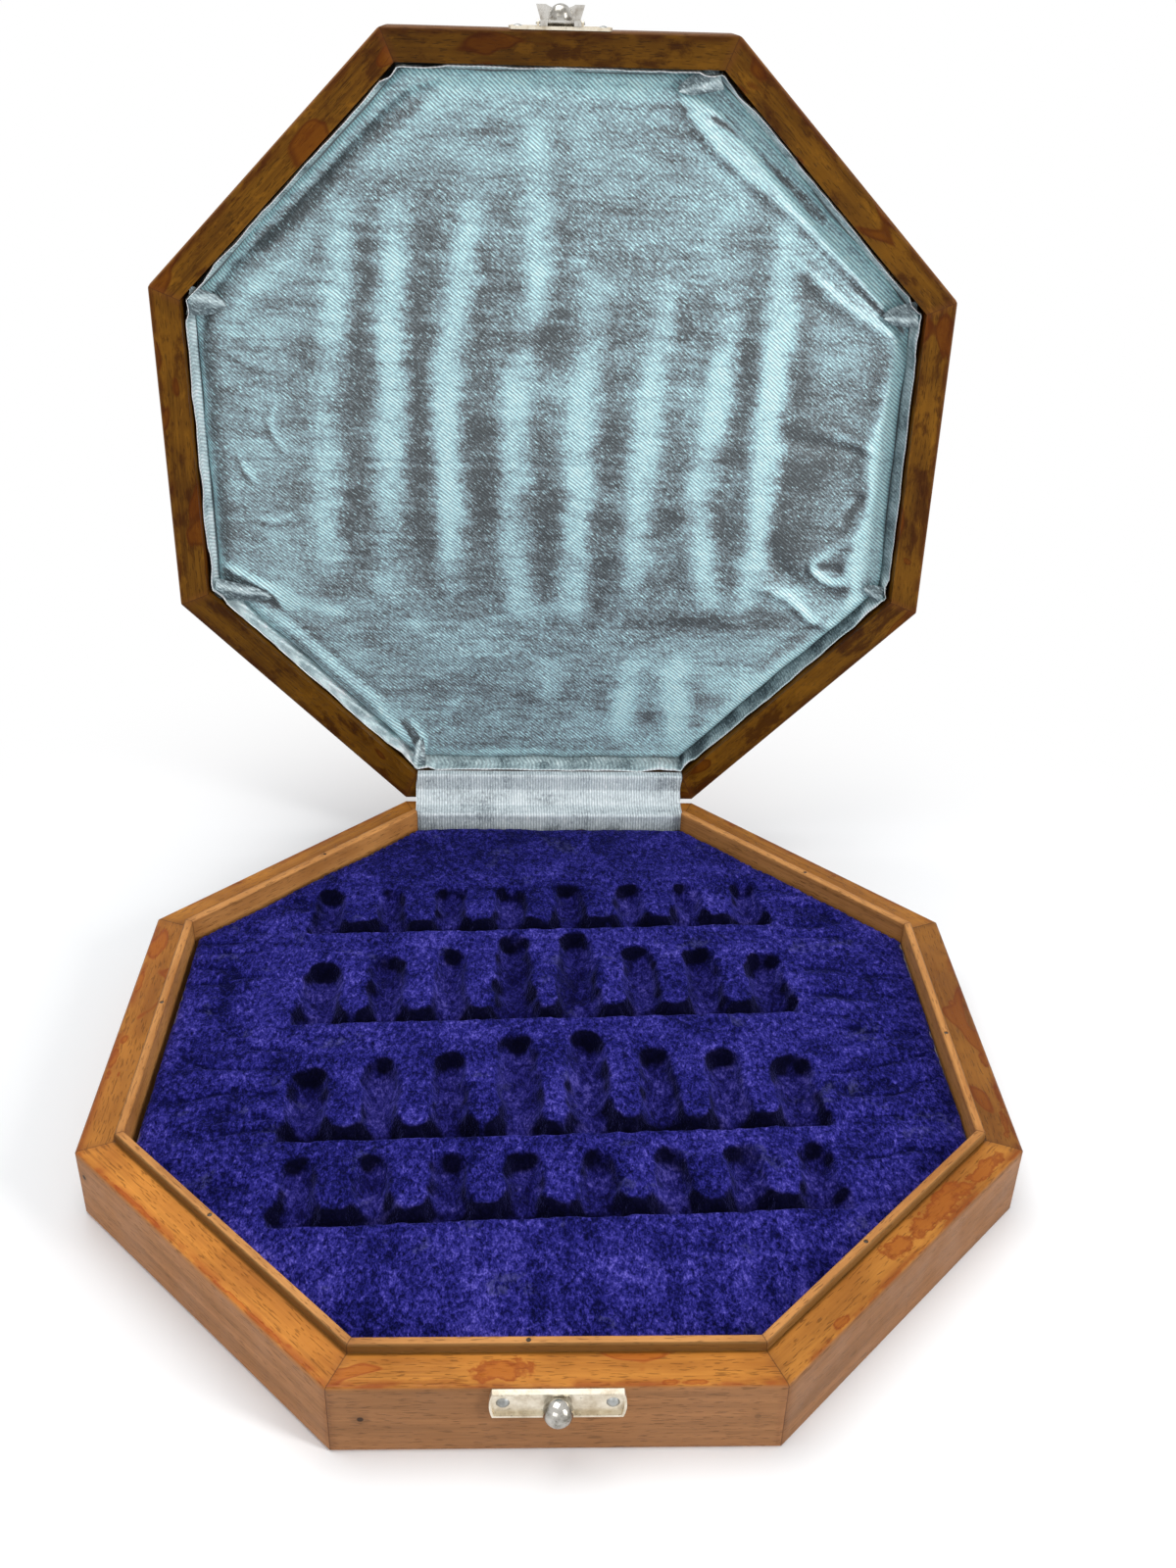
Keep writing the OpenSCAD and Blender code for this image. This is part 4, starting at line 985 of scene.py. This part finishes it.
# painted highlights along the top of the panel and its turned edge, and painted light over its lower and left
# parts
painted_gleam += 0.22 * bell((edge - 7) / 4) * step(-y, 100, 122)
painted_gleam += 0.12 * step(y, 40, 90) + 0.10 * step(-x, 95, 115)
painted_gleam += 0.35 * bell(edge / 3)
painted_gleam += 0.16 * hills(x + 5 * hills(x, y, 15, 11, 108), y, 22, 9, 105) + 0.08 * hills(x, y, 7, 3, 106)
set_value(panel, "painted_gleam", np.clip(painted_gleam, -0.1, 1.02))
in_edit(panel)
draw_out_rim((0, 0, 0))
out_of_edit()
at = points_of(panel)
rim = octagon_depth(at[:, 0] / MM, at[:, 1] / MM, apothem) < 4
back = rim & (np.arange(len(at)) >= len(x))
at[back, 2] = CUSHION_BACK
move_points(panel, at)
in_edit(panel)
pick_open_edge()
bpy.ops.mesh.edge_face_add()
bpy.ops.mesh.select_all(action="SELECT")
bpy.ops.mesh.remove_doubles(threshold=0.00002)
out_of_edit()
turn_faces(panel)
print("panel faces:", len(panel.data.polygons))


# %% [markdown]
# Satin weave floats its warp threads over four or more weft threads, which steps one thread at
# a time and shows as a fine slanting twill. One function makes the finish of every satin
# piece: dull taupe as painted shade where the painted gleam is low, icy blue-white as painted
# highlight where it is high, with the twill in both the colour and the relief. The pattern lies
# in the lid's own plane.

# %% Satin recipe
TWILL_PITCH = 1.15 * MM
BAND_SCALE = 0.314  # the wave texture's bands are this far apart, in metres, at a scale of 1


def satin(name, dull, middle, bright, in_lid=True, twill=1.0, slope=-40):
    """Dull, middle and bright are the colours at a painted gleam of 0.26, 0.55 and 0.95, from painted shade
    to painted highlight. Slope turns the twill.
    """
    material, shader = new_finish(name, Specular_IOR_Level=0.55, Sheen_Weight=0.15, Sheen_Roughness=0.4)
    shader.inputs["Sheen Tint"].default_value = (0.8, 0.95, 1.0, 1)
    here = object_place(in_lid)
    slant = moved(here, turn=(0, 0, math.radians(slope)))
    threads = add("TexWave", {
        "Vector": shaken(slant, here, 300.0, 2.0, 0.4 * MM), "Scale": BAND_SCALE / TWILL_PITCH,
        "Distortion": 0.5, "Detail": 1.0, "Detail Scale": 2.0}, bands_direction="Y").outputs["Fac"]
    # Slubs are uneven threads, in the relief and in the painted gleam; the two sheen noises and the glint are
    # painted mottle and sparkle of the highlight.
    slubs = drawn_noise(slant, (500, 1300, 500), 3, 0.7)
    mottled_sheen = drawn_noise(here, (90, 260, 90), 5, 0.72)
    streaky_sheen = drawn_noise(here, (75, 640, 75), 3, 0.7, 0.3)
    glint = spread(drawn_noise(slant, (700, 2100, 700), 1, 0.5, place=(1, 2, 0)), 0.56, 0.68)
    # painted gleam: picks the colour from painted shade to painted highlight
    painted_shine = add("Attribute", attribute_name="painted_gleam").outputs["Fac"]
    for pattern, mean, strength in ((mottled_sheen, 0.5, 0.8), (streaky_sheen, 0.5, 0.75), (slubs, 0.5, 1.7),
                                    (glint, 0, 0.5)):
        painted_shine = plus(painted_shine, times(minus(pattern, mean), strength * twill))
    tint = ramp(times(painted_shine, 0.78), [
        (0.0, tinted(dull, 0.45)), (0.2, dull), (0.43, middle), (0.74, tinted(bright, 0.94)),
        (1.0, [min(1.0, c) for c in tinted(bright, 1.2)])])
    plug(mixed(times(threads, twill), tint, (0.36, 0.37, 0.40), "MULTIPLY"), shader, "Base Color")
    plug(spread(painted_shine, 0.1, 0.9, 0.48, 0.34), shader, "Roughness")
    relief(shader, minus(times(slubs, 0.8), threads), 0.00010, 0.5 * twill)
    return material


wear(panel, satin("panel_satin", (0.19, 0.225, 0.235), (0.36, 0.50, 0.54), (0.62, 0.96, 1.0)))
panel.data.transform(TO_LID)
panel.data.update()
smooth_shaded(panel, 50)
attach(panel, "lid")
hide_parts("lining_cushion")

# %% [markdown]
# ## Satin band on the lid walls
#
# A strip of the same satin is glued round the walls, its upper edge turned under, and at each
# corner the spare cloth is tucked into a small pleat. An octagonal ring of edges is extruded
# down the wall in steps, and the points are then pushed in where the cloth ripples.

# %% Wall band
BAND_TOP, BAND_FOOT, SIDE_L, BAND_STEPS, BAND_CUTS = 3.8, 15.0, 115, 14, 99
bpy.ops.mesh.primitive_circle_add(vertices=8, radius=LID_INNER / math.cos(math.pi / 8), fill_type="NOTHING",
                                  rotation=(0, 0, math.pi / 8), location=(0, 0, BAND_TOP * MM))
band = newest("satin_wall_band")
freeze(band)
in_edit(band)
bpy.ops.mesh.subdivide(number_cuts=BAND_CUTS)
for _ in range(BAND_STEPS):
    bpy.ops.mesh.extrude_region_move(
        TRANSFORM_OT_translate={"value": (0, 0, (BAND_FOOT - BAND_TOP) / BAND_STEPS * MM)})
out_of_edit()
at = points_of(band)
angle = np.arctan2(at[:, 1], at[:, 0])
side = np.round((angle + math.pi / 2) / (math.pi / 4))
facing = side * math.pi / 4 - math.pi / 2
across = -at[:, 0] * np.sin(facing) + at[:, 1] * np.cos(facing)
fall = (at[:, 2] / MM - BAND_TOP) / (BAND_FOOT - BAND_TOP)
run = side * SIDE_L + across / MM
to_corner = (LID_INNER * math.tan(math.pi / 8) - abs(across)) / MM
corner = np.clip(1 - to_corner / 7, 0, 1)
inward = 0.62 + 0.34 * hills(run + 3 * fall, fall * 8, 13, 6, 111) + 0.12 * hills(run, fall, 4, 0.5, 112)
flap = np.clip(1 - abs(np.where(across > 0, 1, 0.45) * to_corner - 4.2) / 3.6, 0, 1)
inward += 0.75 * eased(corner) * (0.8 + 0.5 * hills(run, fall * 9, 2.2, 7, 113))
inward += 1.5 * flap ** 0.6 * bell((fall - 0.3) / 0.5)
inward += 0.55 * bell(fall / 0.10)
inward = np.clip(inward, 0.25, 2.4) * (1 - 0.5 * step(fall, 0.0, -0.01))
inward += (2.3 - inward) * step(fall, 0.62, 1.0)
reach = 1 - inward * MM / LID_INNER
at[:, 0] *= reach
at[:, 1] *= reach
at[:, 2] += (1 - fall) ** 3 * MM * (0.45 * hills(run, run * 0, 9, 1, 114)
                                    + 0.3 * hills(run, run * 0, 30, 1, 115) - 0.7 * eased(corner))
move_points(band, at)
# painted light and shade for each wall by the way it faces the light, with painted highlights on the turned
# hem at the top, the corner ripples and the tongues
SIDE_PAINTED_LIGHT = [0.5, 0.6, 0.45, 0.3, 0.5, 0.8, 0.75, 0.45]
glow = np.take(SIDE_PAINTED_LIGHT, np.round(side).astype(int) % 8)
set_value(band, "painted_gleam", np.clip(glow + 0.8 * bell(fall / 0.14)
                                 + 0.25 * hills(run, fall * 9, 6, 5, 116)
                                 + 0.5 * corner * hills(run, fall * 9, 1.6, 9, 117) + 0.3 * flap
                                 + 0.1 * step(fall, 0.6, 1.0), 0, 1.2))


# %% [markdown]
# Where the lid's corners turn, the spare cloth of the band lies over the panel in small tongues.
# One tongue is a grid that narrows and rises along its middle. Six are made, each with its own
# length and heading, and joined to the band before it gets its thickness.

# %% Corner pleats
CORNER_R = LID_INNER / MM / math.cos(math.pi / 8) * 0.985


def pleat(corner, heading, length, width, start_z, end_z, lift):
    """A small tongue of spare cloth that lies from a corner of the band towards a heading."""
    bpy.ops.mesh.primitive_grid_add(x_subdivisions=18, y_subdivisions=10, size=1.0)
    tongue = newest("corner_pleat")
    flat = points_of(tongue)
    s, t = flat[:, 0] + 0.5, flat[:, 1] * 2
    half = width / 2 * (1 - 0.35 * s - 0.45 * s ** 5)
    forth = s * length + 0.6 * hills(t * 4, s * 9, 2, 3, 131)
    rise = lift * np.sin(math.pi * np.clip(s * 1.1, 0, 1)) * (1 - t * t)
    rise += 0.35 * hills(t * 5, s * 6, 2.2, 2.6, 132) * s
    c, z = math.radians(heading), start_z + (end_z - start_z) * eased(s) - rise
    px, py = CORNER_R * math.cos(math.radians(corner)), CORNER_R * math.sin(math.radians(corner))
    move_points(tongue, np.stack([px + forth * math.cos(c) - half * t * math.sin(c),
                                  py + forth * math.sin(c) + half * t * math.cos(c), z], 1) * MM)
    # painted highlight along one side of each tongue
    set_value(tongue, "painted_gleam", np.clip(0.2 + 0.5 * bell((t + 0.35) / 0.35)
                                       + 0.15 * hills(t * 4, s * 9, 2, 2, 133), 0, 1.2))
    return tongue


# corner and heading in degrees; length, width, start, end and lift in mm
pleats = [pleat(-67.5, 160, 15, 9, 5.2, 9.5, 1.0), pleat(-22.5, 170, 12, 10, 5.2, 9.0, 0.9),
          pleat(202.5, 14, 13, 11, 5.4, 10.0, 0.7), pleat(157.5, 14, 22, 9, 5.4, 9.4, 1.3),
          pleat(22.5, 196, 8, 7, 5.6, 9.0, 1.2), pleat(112.5, -84, 11, 6, 5.6, 9.4, 0.9)]
only(band)
for tongue in pleats:
    tongue.select_set(True)
bpy.ops.object.join()
turn_faces(band, inside=True)
with_modifier(band, "SOLIDIFY", thickness=0.28 * MM, offset=-1.0)
wear(band, satin("band_satin", (0.12, 0.165, 0.18), (0.42, 0.54, 0.56), (0.85, 1.0, 1.0), twill=0.6))
band.data.transform(TO_LID)
band.data.update()
smooth_shaded(band, 60)
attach(band, "lid")
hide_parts("lining_wall_band")
print("band faces:", len(band.data.polygons))

# %% [markdown]
# ## Satin strip over the hinges
#
# A straight length of satin hides the two hinges. It starts behind the back of the tray, comes
# over the base rim, turns round the knuckles and runs up under the panel. It has to bend as
# the lid shuts; here one long grid follows its path with the lid open.

# %% Hinge strip
STRIP_W = 114.0


def opened(y, z):
    point = TO_LID @ Vector((0, y * MM, z * MM))
    return point.y / MM, point.z / MM


strip_path = [(138.05, 17.4), (138.05, 25.6), (138.5, 26.3), (139.3, 26.38), (145.4, 26.38), (145.9, 26.75),
              opened(145.2, -0.42), opened(139.4, -0.42), opened(138.6, -0.25), opened(138.42, 0.5),
              opened(138.42, 3.5)]
lengths = np.concatenate([[0], np.cumsum([math.dist(a, b) for a, b in zip(strip_path, strip_path[1:])])])
bpy.ops.mesh.primitive_grid_add(x_subdivisions=152, y_subdivisions=64, size=1.0, location=(0, 0, 0))
strip = newest("satin_hinge_cover")
at = points_of(strip)
across, share = at[:, 0] * STRIP_W, at[:, 1] + 0.5
ragged = 0.9 * hills(across, across * 0, 7, 1, 121) + 0.5 * hills(across, across * 0, 2.1, 1, 122)
walked = share * lengths[-1] + np.clip(1 - share * 6, 0, 1) * (ragged + 0.6)
py = np.interp(walked, lengths, [p[0] for p in strip_path])
pz = np.interp(walked, lengths, [p[1] for p in strip_path])
slack = 0.10 * hills(across, walked, 11, 4, 123) + 0.06 * hills(across, walked, 3, 6, 124)
lower = walked < lengths[4]
py = py - np.where(walked < lengths[2], abs(slack), 0)
pz = pz + np.where(lower & (walked > lengths[3]), abs(slack), 0)
py = py - np.where(walked > lengths[6], abs(slack) * (walked < lengths[7]), 0)
strayed = 0.5 * hills(across * 0, walked, 1, 6, 125) * (2 * abs(across) / STRIP_W) ** 6
move_points(strip, np.stack([across + strayed, py, pz], 1) * MM)
# painted gleam for the strip's satin, varied at random
set_value(strip, "painted_gleam", np.clip(0.55 + 0.16 * hills(across, walked, 14, 9, 126)
                                  + 0.1 * hills(across, walked, 1.5, 30, 127), 0, 1.1))
with_modifier(strip, "SOLIDIFY", thickness=0.34 * MM, offset=0.0)
turn_faces(strip)
wear(strip, satin("strip_satin", (0.30, 0.34, 0.36), (0.60, 0.67, 0.69), (0.85, 0.92, 0.93), in_lid=False,
                  twill=0.7, slope=88))
smooth_shaded(strip, 60)
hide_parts("satin_hinge_strip")
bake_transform(strip)
print("strip length:", round(lengths[-1], 1), "mm, faces:", len(strip.data.polygons))

# %% [markdown]
# ## Stage, light and camera
#
# The box stands on a plain white floor that keeps its shadow. A wide overhead lamp stands in
# for the sky, a smaller one from the right rakes across the satin, and the world fills the
# rest. The world is white only to the camera and in reflections.

# %% Floor
def seen_rays():
    """1 for the rays that look at the background, straight or in a reflection."""
    rays = add("LightPath").outputs
    return highest(rays["Is Camera Ray"], highest(rays["Is Glossy Ray"], rays["Is Transmission Ray"]))


bpy.ops.mesh.primitive_plane_add(size=6, location=(0, 0, -0.0002))
floor = newest("studio_floor")
freeze(floor)
material, shader = new_finish("white_floor", Roughness=0.8, Specular_IOR_Level=0.0)
shader.inputs["Base Color"].default_value = (0.93, 0.93, 0.93, 1)
spot = add("VectorMath", {0: object_place()}, operation="LENGTH").outputs["Value"]
glow = add("Emission", {"Color": (1, 1, 1, 1), "Strength": 1.0})
join = add("MixShader", {0: times(seen_rays(), spread(spot, 0.16, 0.36)), 1: shader.outputs[0],
                         2: glow.outputs[0]})
tree.links.new(join.outputs[0], tree.nodes["Material Output"].inputs["Surface"])
wear(floor, material)
print("floor at", round(floor.data.vertices[0].co.z, 4), "m")

# %% World and lamps
world = bpy.data.worlds.new("studio")
bpy.context.scene.world = world
world.use_nodes = True
tree = world.node_tree  # the helpers now add to the world
tree.nodes.clear()
dim = add("Background", {"Color": (0.93, 0.96, 1.0, 1), "Strength": 0.5})
white = add("Background", {"Color": (1, 1, 1, 1), "Strength": 1.0})
both = add("MixShader", {0: seen_rays(), 1: dim.outputs[0], 2: white.outputs[0]})
add("OutputWorld", {"Surface": both.outputs[0]})


def lamp(name, place, target, size, power, colour=(1, 1, 1)):
    data = bpy.data.lights.new(name, "AREA")
    data.shape, data.size, data.size_y, data.energy, data.color = "RECTANGLE", size[0], size[1], power, colour
    made = bpy.data.objects.new(name, data)
    bpy.context.scene.collection.objects.link(made)
    made.matrix_world = (Matrix.Translation(place)
                         @ (Vector(target) - Vector(place)).to_track_quat("-Z", "Y").to_matrix().to_4x4())
    return made


lamp("sky_lamp", (-0.25, 0.15, 1.25), (0, 0, 0.05), (0.9, 0.9), 9.2)
lamp("rake_lamp", (0.85, -0.55, 0.55), (0.0, 0.15, 0.2), (0.2, 0.6), 7.5)
lamp("front_lamp", (-0.5, -1.1, 0.7), (0, 0, 0.1), (0.8, 0.5), 2.0)
print("lamps, in watts:", {light.name: round(light.energy, 1) for light in bpy.data.lights})

# %% [markdown]
# The camera stands where the photograph was taken from, a little above and to the left, and
# leans slightly. Its place comes from fitting the corners of the box.

# %% Camera
PITCH, YAW, ROLL = math.radians(30.77), 0.0454, -0.0307
EYE = (-0.00927, -0.41937, 0.37406)
ahead = Vector((math.sin(YAW) * math.cos(PITCH), math.cos(YAW) * math.cos(PITCH), -math.sin(PITCH)))
level = Vector((math.cos(YAW), -math.sin(YAW), 0))
down = ahead.cross(level)
right = math.cos(ROLL) * level + math.sin(ROLL) * down
up = math.sin(ROLL) * level - math.cos(ROLL) * down
camera_data = bpy.data.cameras.new("photo_camera")
camera_data.lens, camera_data.sensor_width, camera_data.sensor_fit = 35.28, 36, "AUTO"
camera_data.clip_start = 0.01
camera = bpy.data.objects.new("photo_camera", camera_data)
bpy.context.scene.collection.objects.link(camera)
camera.matrix_world = Matrix.Translation(EYE) @ Matrix((right, up, -ahead)).transposed().to_4x4()
bpy.context.scene.camera = camera
bpy.context.scene.view_settings.view_transform = "Standard"
print("camera:", round(math.dist(EYE, (0, 0, 0)), 3), "m from the origin")
